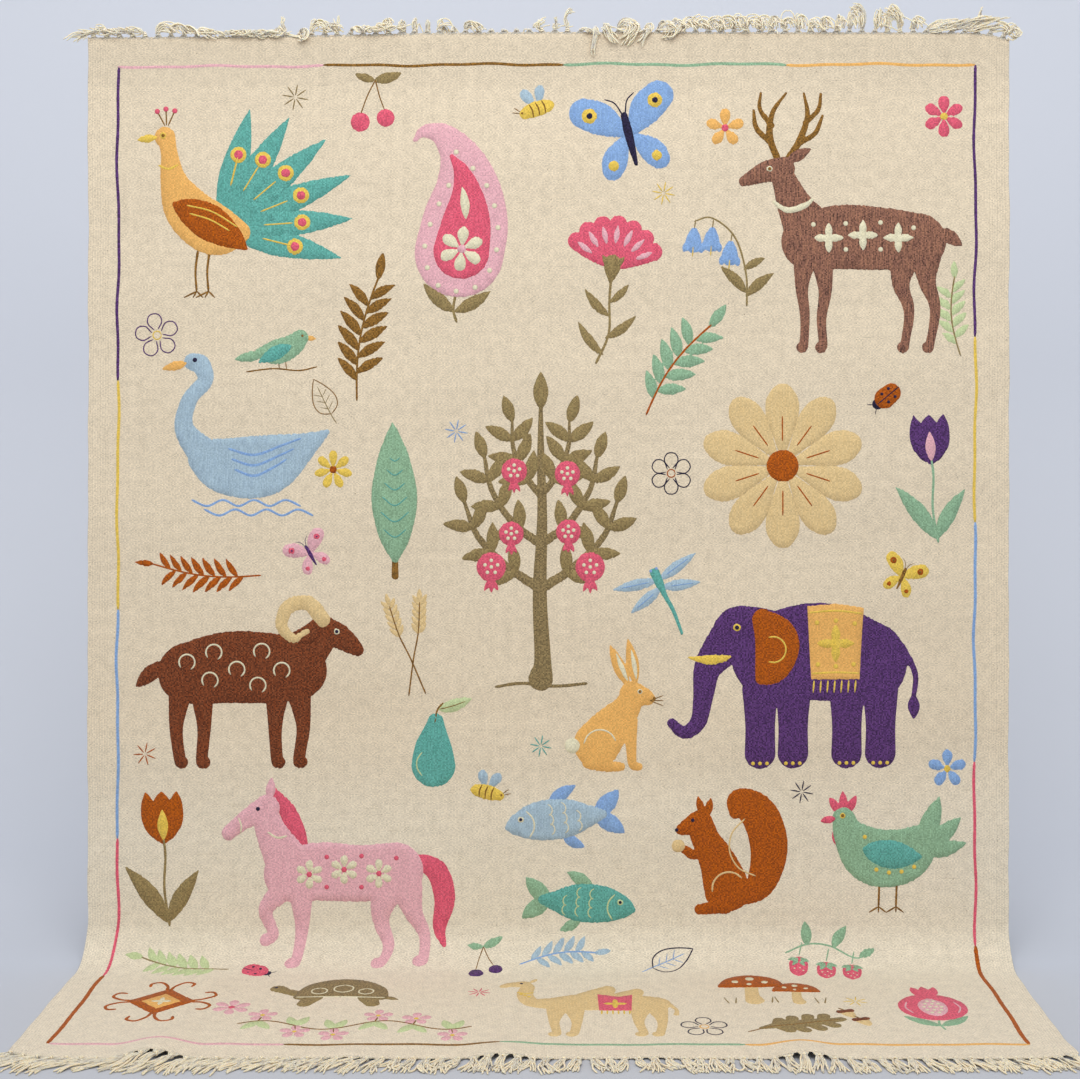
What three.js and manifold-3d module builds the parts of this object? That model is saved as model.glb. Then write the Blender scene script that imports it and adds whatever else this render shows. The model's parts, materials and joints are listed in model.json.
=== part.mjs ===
// Embroidered kilim. It hangs from its top edge, bends at the foot and runs out over the floor.
// Millimetres, +Z up and +Y away from the viewer. The cloth is laid out from its hanging plane, y = 0,
// and the whole is then set with its box centred over the origin.
import * as THREE from "three";
import Module from "manifold-3d";

// Driving dimensions of the cloth
const WIDTH = 2400; // from selvedge to selvedge
const HANG_HEIGHT = 2424; // from the floor to the top edge
const FLOOR_RUN = 626; // from the hanging plane to the front edge
const BEND_RADIUS = 105; // of the turn at the foot
const CLOTH_THICK = 4;
const FLOOR_DRIFT = 19; // how far the front edge lies to the left of the top edge
const SELVEDGE_WOBBLE = 1.5; // how far a side edge wanders
const WOBBLE_LONG = 61; // the wander's two lengths, over 2 pi
const WOBBLE_SHORT = 23.7;
const SIDE_BLEND = 120; // width over which the wander fades
const EDGE_BLEND = 160; // depth over which an uneven end draws the weave with it
const FLAT_HEADING = 60; // flat band under the top edge

// Driving dimensions of the fringes
const BUNCHES = 72; // knotted bunches along each end
const BUNCH_PITCH = WIDTH / BUNCHES;
const LOCK_THICK = 6;
const MIDDLE_SHARE = 0.56; // of the pitch between bunches that a lock's middle takes up
const TIP_SHARE = 0.72; // of the pitch that its fanned tip takes up
const CROWN_SHARE = 0.7; // of a lock's width that its upper side keeps
const TIP_THIN = 0.7; // of a lock's thickness that its tip keeps
const FALL_CLEARANCE = 6; // between the cloth's face and a lock that has fallen in front
const TOP_SWAY = 6; // how far the tips of the top end stand in front of or behind the cloth
const STRIP_DEPTH = 6; // narrow woven strip that holds the roots
const SEAM_GAP = 0.3; // between the cloth's edge and the strip
const ROOT_BURIED = 3; // how deep a root starts inside the strip
const ROOT_WIDTH = 10;
const ROOT_THICK = 2.4;
const LONGEST_FLOOR_LOCK = 108;
const FLOOR_UNEVEN = 3; // degrees by which bunches differ
const TOP_UNEVEN = 6;

// Grid of the cloth's surface
const COLUMNS = 52;
const HANG_ROWS = 14;
const BEND_ROWS = 7;
const FLOOR_ROWS = 11;
const STEP = 0.5; // for slopes by difference

// Lengths along the cloth, from its top edge
const HANG_LENGTH = HANG_HEIGHT - BEND_RADIUS - CLOTH_THICK / 2;
const BEND_LENGTH = (Math.PI / 2) * BEND_RADIUS;
const LENGTH = HANG_LENGTH + BEND_LENGTH + FLOOR_RUN - BEND_RADIUS;

// Broad soft waves of the hanging part: wavelengths across and along, height and phase
const HANGING_WAVES = [
  { across: 1500, along: 2100, height: 4.5, phase: 0.6 },
  { across: 640, along: 1700, height: 2, phase: 2.1 },
  { across: 5200, along: 300, height: 1.6, phase: 1.2 },
  { across: -900, along: 540, height: 1.2, phase: 4.0 },
];
const WAVE_FADE_IN = 420; // below the heading
const WAVE_FADE_OUT = 300; // above the bend

// Places where the front end is lifted off the floor: middle, width, height and reach into the cloth
const FLOOR_LIFTS = [
  { x: -868, width: 230, height: 24, reach: 240 },
  { x: -430, width: 180, height: 5, reach: 90 },
  { x: -89, width: 210, height: 14, reach: 150 },
  { x: 250, width: 200, height: 4, reach: 80 },
  { x: 590, width: 190, height: 18, reach: 170 },
  { x: 1215, width: 220, height: 10, reach: 130 },
];

// How far the front end is drawn back, and the top end down, across the width
const FRONT_END = [
  { x: -1200, back: 38 },
  { x: -1150, back: 16 },
  { x: -1080, back: 4 },
  { x: -980, back: 0 },
  { x: 1080, back: 0 },
  { x: 1200, back: 9 },
];
const TOP_END = [
  { x: -1200, down: 15 },
  { x: -700, down: 11 },
  { x: -300, down: 3 },
  { x: 0, down: 0 },
  { x: 1100, down: 2 },
  { x: 1155, down: 8 },
  { x: 1200, down: 22 },
];

// Lie of the floor fringe: lean to the right of straight ahead, in degrees, and reach ahead of the edge
const FLOOR_FRINGE = [
  { x: -1200, lean: -60, reach: 52 },
  { x: -1000, lean: -58, reach: 56 },
  { x: -780, lean: -56, reach: 60 },
  { x: -450, lean: -48, reach: 64 },
  { x: -300, lean: -22, reach: 70 },
  { x: -100, lean: -12, reach: 72 },
  { x: 20, lean: -28, reach: 68 },
  { x: 150, lean: 2, reach: 70 },
  { x: 600, lean: 4, reach: 74 },
  { x: 780, lean: 16, reach: 70 },
  { x: 950, lean: 30, reach: 68 },
  { x: 1200, lean: 38, reach: 66 },
];

// Stand of the top fringe: height, lean to the right in degrees, and fall in front of the cloth
const TOP_FRINGE = [
  { x: -1200, height: 30, lean: -50, fall: 0 },
  { x: -1150, height: 34, lean: 6, fall: 0 },
  { x: -1080, height: 26, lean: 48, fall: 0 },
  { x: -970, height: 40, lean: 36, fall: 0 },
  { x: -800, height: 22, lean: 48, fall: 0 },
  { x: -700, height: 40, lean: 6, fall: 0 },
  { x: -590, height: 38, lean: 32, fall: 0 },
  { x: -430, height: 40, lean: 2, fall: 0 },
  { x: -340, height: 44, lean: 2, fall: 0 },
  { x: -240, height: 32, lean: 12, fall: 0 },
  { x: -180, height: 14, lean: 30, fall: 0 },
  { x: -30, height: 14, lean: 34, fall: 0 },
  { x: 30, height: 54, lean: 8, fall: 0 },
  { x: 85, height: 30, lean: 20, fall: 0 },
  { x: 100, height: 20, lean: 10, fall: 44 },
  { x: 320, height: 24, lean: -10, fall: 34 },
  { x: 340, height: 34, lean: -24, fall: 0 },
  { x: 500, height: 46, lean: 2, fall: 0 },
  { x: 780, height: 50, lean: 0, fall: 0 },
  { x: 910, height: 58, lean: -12, fall: 0 },
  { x: 1000, height: 34, lean: 34, fall: 0 },
  { x: 1090, height: 46, lean: 40, fall: 0 },
  { x: 1200, height: 34, lean: 54, fall: 0 },
];

const radians = THREE.MathUtils.degToRad;

// 0 to 1 with a level start and end
const ease = (value) => THREE.MathUtils.smoothstep(value, 0, 1);

// A repeatable number from 0 to 1 for each index
function spread(index, salt) {
  const value = Math.sin(index * 12.9898 + salt * 78.233) * 43758.5453;
  return value - Math.floor(value);
}

// The value of a table's column at x, straight between its rows
function lookUp(table, column, x) {
  const after = table.findIndex((row) => row.x >= x);
  if (after === 0) return table[0][column];
  if (after < 0) return table[table.length - 1][column];
  const low = table[after - 1];
  const high = table[after];
  return THREE.MathUtils.mapLinear(x, low.x, high.x, low[column], high[column]);
}

// The cloth's section: hanging plane, quarter turn and floor, with the way that its face looks
function section(s) {
  if (s < HANG_LENGTH) return { y: 0, z: HANG_HEIGHT - s, turn: 0 };
  if (s < HANG_LENGTH + BEND_LENGTH) {
    const turn = (s - HANG_LENGTH) / BEND_RADIUS;
    const y = -BEND_RADIUS * (1 - Math.cos(turn));
    const z = CLOTH_THICK / 2 + BEND_RADIUS * (1 - Math.sin(turn));
    return { y, z, turn };
  }
  const y = -BEND_RADIUS - (s - HANG_LENGTH - BEND_LENGTH);
  return { y, z: CLOTH_THICK / 2, turn: Math.PI / 2 };
}

// Height of the hanging part's soft waves
function hangingWave(x, s) {
  const fadeIn = ease((s - FLAT_HEADING) / WAVE_FADE_IN);
  const fadeOut = ease((HANG_LENGTH - s) / WAVE_FADE_OUT);
  const sum = HANGING_WAVES.reduce((total, wave) => {
    const angle = 2 * Math.PI * (x / wave.across + s / wave.along) + wave.phase;
    return total + wave.height * Math.sin(angle);
  }, 0);
  return sum * fadeIn * fadeOut;
}

// Height of the lifted places of the front end
function floorLift(x, s) {
  return FLOOR_LIFTS.reduce((total, lift) => {
    const aside = Math.min(Math.abs(x - lift.x) / (lift.width / 2), 1);
    const inward = THREE.MathUtils.clamp((LENGTH - s) / lift.reach, 0, 1);
    return total + lift.height * (1 - ease(aside)) * (1 - ease(inward));
  }, 0);
}

// A point of the cloth's middle surface, x across and s down its length
function middlePoint(x, s) {
  const nearFront = ease((s - LENGTH + EDGE_BLEND) / EDGE_BLEND);
  const nearTop = ease((EDGE_BLEND - s) / EDGE_BLEND);
  const drawn = s - lookUp(FRONT_END, "back", x) * nearFront + lookUp(TOP_END, "down", x) * nearTop;
  const { y, z, turn } = section(drawn);
  const relief = hangingWave(x, drawn) + floorLift(x, s);
  const onFloor = THREE.MathUtils.clamp((drawn - HANG_LENGTH) / (LENGTH - HANG_LENGTH), 0, 1);
  const drift = FLOOR_DRIFT * (1 - (1 - onFloor) ** 2);
  const wander = Math.sin(s / WOBBLE_LONG) + Math.sin(s / WOBBLE_SHORT + Math.sign(x));
  const wobble = (SELVEDGE_WOBBLE * wander) / 2;
  const nearSide = ease((Math.abs(x) - WIDTH / 2 + SIDE_BLEND) / SIDE_BLEND);
  return new THREE.Vector3(
    x - drift + wobble * nearSide,
    y - relief * Math.cos(turn),
    z + relief * Math.sin(turn),
  );
}

// A point at a height over the middle surface, on the side of the face
function clothPoint(x, s, height) {
  const across = middlePoint(x + STEP, s).sub(middlePoint(x - STEP, s));
  const along = middlePoint(x, s + STEP).sub(middlePoint(x, s - STEP));
  const face = along.cross(across).normalize();
  return middlePoint(x, s).addScaledVector(face, height);
}

// Evenly spaced values
function steps(from, to, count) {
  return Array.from({ length: count + 1 }, (_, k) => from + ((to - from) * k) / count);
}

// A geometry from points and triangles
function geometryOf(points, triangles) {
  const geometry = new THREE.BufferGeometry().setFromPoints(points);
  geometry.setIndex(triangles.flat());
  return geometry;
}

// A closed slab of cloth over a grid of places across and along
function slab(across, along) {
  const rows = along.length;
  const sheet = across.length * rows;
  const points = [CLOTH_THICK / 2, -CLOTH_THICK / 2].flatMap((height) =>
    across.flatMap((x) => along.map((s) => clothPoint(x, s, height))),
  );
  const triangles = [];
  const at = (i, j) => i * rows + j;
  for (let i = 0; i < across.length - 1; i++) {
    for (let j = 0; j < rows - 1; j++) {
      const corners = [at(i, j), at(i, j + 1), at(i + 1, j + 1), at(i + 1, j)];
      for (const [a, b, c] of [[0, 1, 2], [0, 2, 3]]) {
        triangles.push([corners[a], corners[b], corners[c]]);
        triangles.push([corners[a] + sheet, corners[c] + sheet, corners[b] + sheet]);
      }
    }
  }
  const wall = (p, q) => {
    triangles.push([q, p, p + sheet], [q, p + sheet, q + sheet]);
  };
  const last = across.length - 1;
  for (let j = 0; j < rows - 1; j++) {
    wall(at(0, j), at(0, j + 1));
    wall(at(last, j + 1), at(last, j));
  }
  for (let i = 0; i < last; i++) {
    wall(at(i, rows - 1), at(i + 1, rows - 1));
    wall(at(i + 1, 0), at(i, 0));
  }
  return geometryOf(points, triangles);
}

// A closed four-sided lock through its stations, wide underneath and narrower on its upper side
function lock(stations, side) {
  const points = stations.flatMap(({ at, width, thick }, k) => {
    const before = stations[Math.max(k - 1, 0)].at;
    const after = stations[Math.min(k + 1, stations.length - 1)].at;
    const rise = new THREE.Vector3().crossVectors(side, after.clone().sub(before)).normalize();
    const corner = (aside, up) =>
      at.clone().addScaledVector(side, aside * width).addScaledVector(rise, up * thick);
    const crown = CROWN_SHARE / 2;
    return [corner(-0.5, 0), corner(-crown, 1), corner(crown, 1), corner(0.5, 0)];
  });
  const end = points.length - 4;
  const triangles = [[0, 2, 1], [0, 3, 2], [end, end + 1, end + 2], [end, end + 2, end + 3]];
  for (let k = 0; k < end; k += 4) {
    for (const [a, b] of [[0, 1], [1, 2], [2, 3], [3, 0]]) {
      triangles.push([k + a, k + b, k + 4 + b], [k + a, k + 4 + b, k + 4 + a]);
    }
  }
  return geometryOf(points, triangles);
}

// A lock of the front end, which drops from the cloth's edge, fans out and lies on the floor
function floorLock(bunch) {
  const x = -WIDTH / 2 + (bunch + 0.5) * BUNCH_PITCH;
  const turned = FLOOR_UNEVEN * (spread(bunch, 1) - 0.5);
  const lean = radians(lookUp(FLOOR_FRINGE, "lean", x) + turned);
  const reach = lookUp(FLOOR_FRINGE, "reach", x) * (0.86 + 0.14 * spread(bunch, 2));
  const length = Math.min(reach / Math.cos(lean), LONGEST_FLOOR_LOCK);
  const room = BUNCH_PITCH * Math.cos(lean);
  const ahead = new THREE.Vector3(Math.sin(lean), -Math.cos(lean), 0);
  const side = new THREE.Vector3(ahead.y, -ahead.x, 0);
  const root = middlePoint(x, LENGTH + SEAM_GAP + STRIP_DEPTH - ROOT_BURIED);
  const drop = root.z - CLOTH_THICK / 2;
  const station = (share, height, width, thick) => {
    const at = root.clone().addScaledVector(ahead, share * length);
    at.z = height;
    return { at, width, thick };
  };
  return lock(
    [
      station(0, root.z - ROOT_THICK / 2, ROOT_WIDTH * Math.cos(lean), ROOT_THICK),
      station(0.22, drop * 0.5, ROOT_WIDTH * Math.cos(lean), LOCK_THICK),
      station(0.55, 0, MIDDLE_SHARE * room, LOCK_THICK),
      station(1, 0, TIP_SHARE * room, LOCK_THICK * TIP_THIN),
    ],
    side,
  );
}

// A lock of the top end, which stands up and leans over or falls in front of the cloth
function topLock(bunch) {
  const x = -WIDTH / 2 + (bunch + 0.5) * BUNCH_PITCH;
  const uneven = 0.85 + 0.25 * spread(bunch, 3);
  const turned = TOP_UNEVEN * (spread(bunch, 4) - 0.5);
  const lean = radians(lookUp(TOP_FRINGE, "lean", x) + turned);
  const height = lookUp(TOP_FRINGE, "height", x) * uneven;
  const fall = lookUp(TOP_FRINGE, "fall", x) * uneven;
  const room = BUNCH_PITCH * Math.cos(lean);
  const middle = MIDDLE_SHARE * room;
  const tip = TIP_SHARE * room;
  const root = middlePoint(x, -SEAM_GAP - STRIP_DEPTH + ROOT_BURIED);
  const station = (aside, forward, up, width, thick) => ({
    at: root.clone().add(new THREE.Vector3(aside, -forward, up)),
    width,
    thick,
  });
  const rootStation = station(0, -ROOT_THICK / 2, 0, ROOT_WIDTH * Math.cos(lean), ROOT_THICK);
  if (fall > 0) {
    const hang = CLOTH_THICK / 2 + LOCK_THICK + FALL_CLEARANCE;
    return lock(
      [
        rootStation,
        station(0, 0, height * 0.6, middle, LOCK_THICK * TIP_THIN),
        station(0, hang * 0.6, height, middle, LOCK_THICK),
        station(0, hang, height * 0.5, middle, LOCK_THICK),
        station(0, hang, -fall, tip, LOCK_THICK * TIP_THIN),
      ],
      new THREE.Vector3(1, 0, 0),
    );
  }
  const away = height * Math.tan(lean);
  const sway = TOP_SWAY * (spread(bunch, 5) - 0.5);
  return lock(
    [
      rootStation,
      station(away * 0.4, 0, height * 0.5, middle, LOCK_THICK),
      station(away, sway, height, tip, LOCK_THICK * TIP_THIN),
    ],
    new THREE.Vector3(Math.cos(lean), 0, -Math.sin(lean)),
  );
}

const wasm = await Module();
wasm.setup();

// A geometry with an index as a solid that can be joined to others
function solidOf(geometry) {
  return new wasm.Manifold(
    new wasm.Mesh({
      numProp: 3,
      vertProperties: new Float32Array(geometry.getAttribute("position").array),
      triVerts: new Uint32Array(geometry.index.array),
    }),
  );
}

// A narrow strip between two places along the cloth, with its locks fused to it
function fringeGeometry(from, to, makeLock) {
  const strip = slab(steps(-WIDTH / 2, WIDTH / 2, COLUMNS), [from, to]);
  const locks = Array.from({ length: BUNCHES }, (_, bunch) => makeLock(bunch));
  const solids = [strip, ...locks].map(solidOf);
  const { vertProperties, triVerts } = wasm.Manifold.union(solids).getMesh();
  const geometry = new THREE.BufferGeometry();
  geometry.setAttribute("position", new THREE.BufferAttribute(vertProperties, 3));
  geometry.setIndex(new THREE.BufferAttribute(triVerts, 1));
  return geometry;
}

// The cloth: one sheet from its top edge down the hanging part, round the bend and over the floor
function clothGeometry() {
  const along = [
    0,
    FLAT_HEADING,
    ...steps(FLAT_HEADING, HANG_LENGTH, HANG_ROWS).slice(1),
    ...steps(HANG_LENGTH, HANG_LENGTH + BEND_LENGTH, BEND_ROWS).slice(1),
    ...steps(HANG_LENGTH + BEND_LENGTH, LENGTH, FLOOR_ROWS).slice(1),
  ];
  return slab(steps(-WIDTH / 2, WIDTH / 2, COLUMNS), along);
}

// Finishes
const clothFinish = new THREE.MeshStandardMaterial({ color: 0xdccfb4, roughness: 0.95, metalness: 0 });
const fringeFinish = new THREE.MeshStandardMaterial({ color: 0xe0d6bc, roughness: 0.95, metalness: 0 });

function piece(name, geometry, finish) {
  geometry.computeVertexNormals();
  const mesh = new THREE.Mesh(geometry, finish);
  mesh.name = name;
  return mesh;
}

const kilim = new THREE.Group();
kilim.add(
  piece("kilim_cloth", clothGeometry(), clothFinish),
  piece(
    "fringe_top",
    fringeGeometry(-SEAM_GAP - STRIP_DEPTH, -SEAM_GAP, topLock),
    fringeFinish.clone(),
  ),
  piece(
    "fringe_floor",
    fringeGeometry(LENGTH + SEAM_GAP, LENGTH + SEAM_GAP + STRIP_DEPTH, floorLock),
    fringeFinish.clone(),
  ),
);
const middle = new THREE.Box3().setFromObject(kilim).getCenter(new THREE.Vector3());
kilim.position.set(-middle.x, -middle.y, 0);

export default kilim;
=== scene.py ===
"""Looks of the embroidered kilim: its cloth, embroidery and fringes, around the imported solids.

All lengths are in metres in the part's own frame, apart from the drawings of the embroidery and
the tables of the cloth's shape, which are in millimetres.
"""

import json
import logging
import math
from collections.abc import Callable, Iterable, Sequence
from dataclasses import dataclass, field
from enum import Enum

import bpy
import numpy as np
from mathutils import Matrix, Vector
from mathutils.geometry import delaunay_2d_cdt

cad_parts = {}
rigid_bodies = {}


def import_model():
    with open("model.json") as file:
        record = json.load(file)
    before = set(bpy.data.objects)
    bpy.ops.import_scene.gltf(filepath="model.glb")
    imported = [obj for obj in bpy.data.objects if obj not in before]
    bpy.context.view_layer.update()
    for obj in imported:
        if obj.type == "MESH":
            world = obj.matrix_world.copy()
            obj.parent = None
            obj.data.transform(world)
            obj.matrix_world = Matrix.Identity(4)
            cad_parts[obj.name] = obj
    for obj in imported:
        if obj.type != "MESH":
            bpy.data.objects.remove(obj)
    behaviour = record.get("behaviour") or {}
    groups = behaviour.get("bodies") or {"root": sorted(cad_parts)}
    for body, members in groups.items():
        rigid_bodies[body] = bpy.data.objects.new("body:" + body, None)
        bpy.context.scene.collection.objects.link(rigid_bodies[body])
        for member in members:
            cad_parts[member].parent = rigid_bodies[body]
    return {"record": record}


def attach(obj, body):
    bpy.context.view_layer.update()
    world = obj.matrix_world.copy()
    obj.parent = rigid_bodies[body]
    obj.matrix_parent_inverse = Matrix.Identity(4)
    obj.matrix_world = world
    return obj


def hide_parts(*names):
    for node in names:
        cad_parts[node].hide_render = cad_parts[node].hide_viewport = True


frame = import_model()

LOG = logging.getLogger("kilim")
MM = 0.001
BODY = "root"

Array = np.ndarray
Station = tuple[float, float, float]


def ease(value: Array) -> Array:
    """0 to 1 with a level start and end."""
    value = np.clip(value, 0.0, 1.0)
    return value * value * (3.0 - 2.0 * value)


def spread(number: Array, salt: float) -> Array:
    """A repeatable share from 0 to 1 for each whole number."""
    return np.mod(np.sin(number * 12.9898 + salt * 78.233) * 43758.5453, 1.0)


def linear(colour: tuple[float, float, float]) -> tuple[float, float, float, float]:
    """A screen colour from 0 to 255 as the shader's own linear colour.

    Args:
        colour: the colour on a screen.

    Returns:
        The shader's colour, with a full alpha.
    """
    shares = [c / 255.0 for c in colour]
    low, high = 0.04045, 2.4
    flat = [c / 12.92 if c <= low else ((c + 0.055) / 1.055) ** high for c in shares]
    return (flat[0], flat[1], flat[2], 1.0)


# The shape in which the cloth hangs and lies


@dataclass(frozen=True)
class Table:
    """A short table of one value against the place across the cloth, in millimetres."""

    across: tuple[float, ...]
    values: tuple[float, ...]

    def at(self, x: Array) -> Array:
        """The value at x metres across, straight between the table's places.

        Args:
            x: places across, in metres.

        Returns:
            The values, in the table's own unit.
        """
        return np.interp(x / MM, self.across, self.values)


@dataclass(frozen=True)
class Wave:
    """A broad soft wave of the hanging part: wavelengths across and along, height and phase."""

    across: float
    along: float
    height: float
    phase: float


@dataclass(frozen=True)
class Lift:
    """A place where the front end is lifted off the floor."""

    x: float
    width: float
    height: float
    reach: float


@dataclass(frozen=True)
class Crease:
    """A soft ridge, or a trough where its height is negative, across the cloth's face."""

    x: float
    s: float
    long: float
    wide: float
    height: float
    turn: float


HANGING_WAVES = (
    Wave(1500, 2100, 4.5, 0.6),
    Wave(640, 1700, 2.0, 2.1),
    Wave(5200, 300, 1.6, 1.2),
    Wave(-900, 540, 1.2, 4.0),
)
FLOOR_LIFTS = (
    Lift(-868, 230, 24, 240),
    Lift(-430, 180, 5, 90),
    Lift(-89, 210, 14, 150),
    Lift(250, 200, 4, 80),
    Lift(590, 190, 18, 170),
    Lift(1215, 220, 10, 130),
)
FRONT_END_BACK = Table((-1200, -1150, -1080, -980, 1080, 1200), (38, 16, 4, 0, 0, 9))
TOP_END_DOWN = Table((-1200, -700, -300, 0, 1100, 1155, 1200), (15, 11, 3, 0, 2, 8, 22))
CREASES = (
    Crease(-100, 1690, 1500, 62, 3.8, 2),
    Crease(-500, 1800, 900, 55, -2.47, -3),
    Crease(620, 1850, 700, 50, 2.47, -4),
    Crease(300, 2060, 1100, 60, 1.9, 3),
    Crease(-760, 1500, 520, 46, 1.71, 12),
    Crease(880, 1320, 420, 44, -1.71, -18),
    Crease(-250, 760, 620, 52, 1.52, 24),
    Crease(560, 820, 560, 50, -1.52, -20),
    Crease(-940, 300, 300, 36, 1.52, 58),
    Crease(1010, 240, 330, 34, 1.9, -52),
    Crease(1060, 420, 260, 30, -1.52, -60),
    Crease(0, 150, 800, 34, -1.33, 1),
    Crease(-820, 2620, 360, 34, 2.28, 74),
    Crease(560, 2700, 300, 32, 1.9, 98),
    Crease(-60, 2760, 260, 30, 1.71, 84),
)


@dataclass(frozen=True)
class KilimForm:
    """The cloth's middle surface, worked out as its solid is, with finer creases on it."""

    width: float = 2.400
    hang_height: float = 2.424
    floor_run: float = 0.626
    bend_radius: float = 0.105
    solid_thick: float = 0.004
    floor_drift: float = 0.019
    selvedge_wobble: float = 0.0015
    wobble_lengths: tuple[float, float] = (0.061, 0.0237)
    side_blend: float = 0.120
    edge_blend: float = 0.160
    flat_heading: float = 0.060
    wave_fade_in: float = 0.420
    wave_fade_out: float = 0.300
    bunches: int = 72
    step: float = 0.0005
    shift: tuple[float, float] = (0.0, 0.0)

    @property
    def hang_length(self) -> float:
        """Length of the flat hanging part."""
        return self.hang_height - self.bend_radius - self.solid_thick / 2

    @property
    def bend_length(self) -> float:
        """Length of the turn at the foot."""
        return math.pi / 2 * self.bend_radius

    @property
    def length(self) -> float:
        """Length of the whole cloth from its top edge to its front edge."""
        return self.hang_length + self.bend_length + self.floor_run - self.bend_radius

    @property
    def bunch_pitch(self) -> float:
        """Distance between two knotted bunches of a fringe."""
        return self.width / self.bunches

    def section(self, s: Array) -> tuple[Array, Array, Array]:
        """The hanging plane, the quarter turn and the floor.

        Args:
            s: lengths down the cloth.

        Returns:
            Depth, height and the way the face looks, from 0, towards the viewer, to a quarter turn, up.
        """
        turn = np.clip((s - self.hang_length) / self.bend_radius, 0.0, math.pi / 2)
        past = np.maximum(s - self.hang_length - self.bend_length, 0.0)
        y = -self.bend_radius * (1 - np.cos(turn)) - past
        bent = self.solid_thick / 2 + self.bend_radius * (1 - np.sin(turn))
        z = np.where(s < self.hang_length, self.hang_height - s, bent)
        return y, z, turn

    def hanging_wave(self, x: Array, s: Array) -> Array:
        """Height of the hanging part's soft waves.

        Args:
            x: places across the cloth, from its middle.
            s: lengths down the cloth, from its top edge.

        Returns:
            The heights.
        """
        fade_in = ease((s - self.flat_heading) / self.wave_fade_in)
        fade_out = ease((self.hang_length - s) / self.wave_fade_out)
        total = np.zeros_like(x)
        for wave in HANGING_WAVES:
            angle = 2 * math.pi * (x / wave.across + s / wave.along) / MM + wave.phase
            total = total + wave.height * MM * np.sin(angle)
        return total * fade_in * fade_out

    def floor_lift(self, x: Array, s: Array) -> Array:
        """Height of the lifted places of the front end.

        Args:
            x: places across the cloth, from its middle.
            s: lengths down the cloth, from its top edge.

        Returns:
            The heights.
        """
        total = np.zeros_like(x)
        for lift in FLOOR_LIFTS:
            aside = np.abs(x - lift.x * MM) / (lift.width * MM / 2)
            inward = (self.length - s) / (lift.reach * MM)
            total = total + lift.height * MM * (1 - ease(aside)) * (1 - ease(inward))
        return total

    def creases(self, x: Array, s: Array) -> Array:
        """Height of the soft creases, which fade out towards all four edges.

        Args:
            x: places across the cloth, from its middle.
            s: lengths down the cloth, from its top edge.

        Returns:
            The heights.
        """
        total = np.zeros_like(x)
        for crease in CREASES:
            turn = math.radians(crease.turn)
            dx, ds = x - crease.x * MM, s - crease.s * MM
            along = (dx * math.cos(turn) + ds * math.sin(turn)) / (crease.long * MM)
            aside = (ds * math.cos(turn) - dx * math.sin(turn)) / (crease.wide * MM)
            total = total + crease.height * MM * np.exp(-(aside**2) - along**4)
        edge = ease((self.width / 2 - np.abs(x)) / self.side_blend)
        ends = ease(s / self.side_blend) * ease((self.length - s) / self.side_blend)
        return total * edge * ends

    def middle(self, x: Array, s: Array) -> Array:
        """Points of the middle surface.

        Args:
            x: places across the cloth, from its middle.
            s: lengths down the cloth, from its top edge.

        Returns:
            Points in the part's frame, with one more axis of three.
        """
        near_front = ease((s - self.length + self.edge_blend) / self.edge_blend)
        near_top = ease((self.edge_blend - s) / self.edge_blend)
        drawn = s - FRONT_END_BACK.at(x) * MM * near_front + TOP_END_DOWN.at(x) * MM * near_top
        y, z, turn = self.section(drawn)
        relief = self.hanging_wave(x, drawn) + self.floor_lift(x, s) + self.creases(x, s)
        on_floor = np.clip((drawn - self.hang_length) / (self.length - self.hang_length), 0, 1)
        drift = self.floor_drift * (1 - (1 - on_floor) ** 2)
        long_wave, short_wave = self.wobble_lengths
        wander = np.sin(s / long_wave) + np.sin(s / short_wave + np.sign(x))
        near_side = ease((np.abs(x) - self.width / 2 + self.side_blend) / self.side_blend)
        across = x - drift + self.selvedge_wobble * wander / 2 * near_side + self.shift[0]
        return np.stack(
            [across, y - relief * np.cos(turn) + self.shift[1], z + relief * np.sin(turn)], axis=-1
        )

    def face(self, x: Array, s: Array) -> Array:
        """The way that the face looks at each place, as unit vectors.

        Args:
            x: places across the cloth, from its middle.
            s: lengths down the cloth, from its top edge.

        Returns:
            The unit vectors.
        """
        across = self.middle(x + self.step, s) - self.middle(x - self.step, s)
        along = self.middle(x, s + self.step) - self.middle(x, s - self.step)
        normal = np.cross(along, across)
        return normal / np.linalg.norm(normal, axis=-1, keepdims=True)

    def point(self, x: Array, s: Array, height: Array) -> Array:
        """Points at a height over the middle surface, on the side of the face.

        Args:
            x: places across the cloth, from its middle.
            s: lengths down the cloth, from its top edge.
            height: heights over the middle surface.

        Returns:
            The points in the part's frame.
        """
        x, s, height = np.broadcast_arrays(
            np.asarray(x, float), np.asarray(s, float), np.asarray(height, float)
        )
        return self.middle(x, s) + self.face(x, s) * height[..., None]


# Shader maths and finishes


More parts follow.
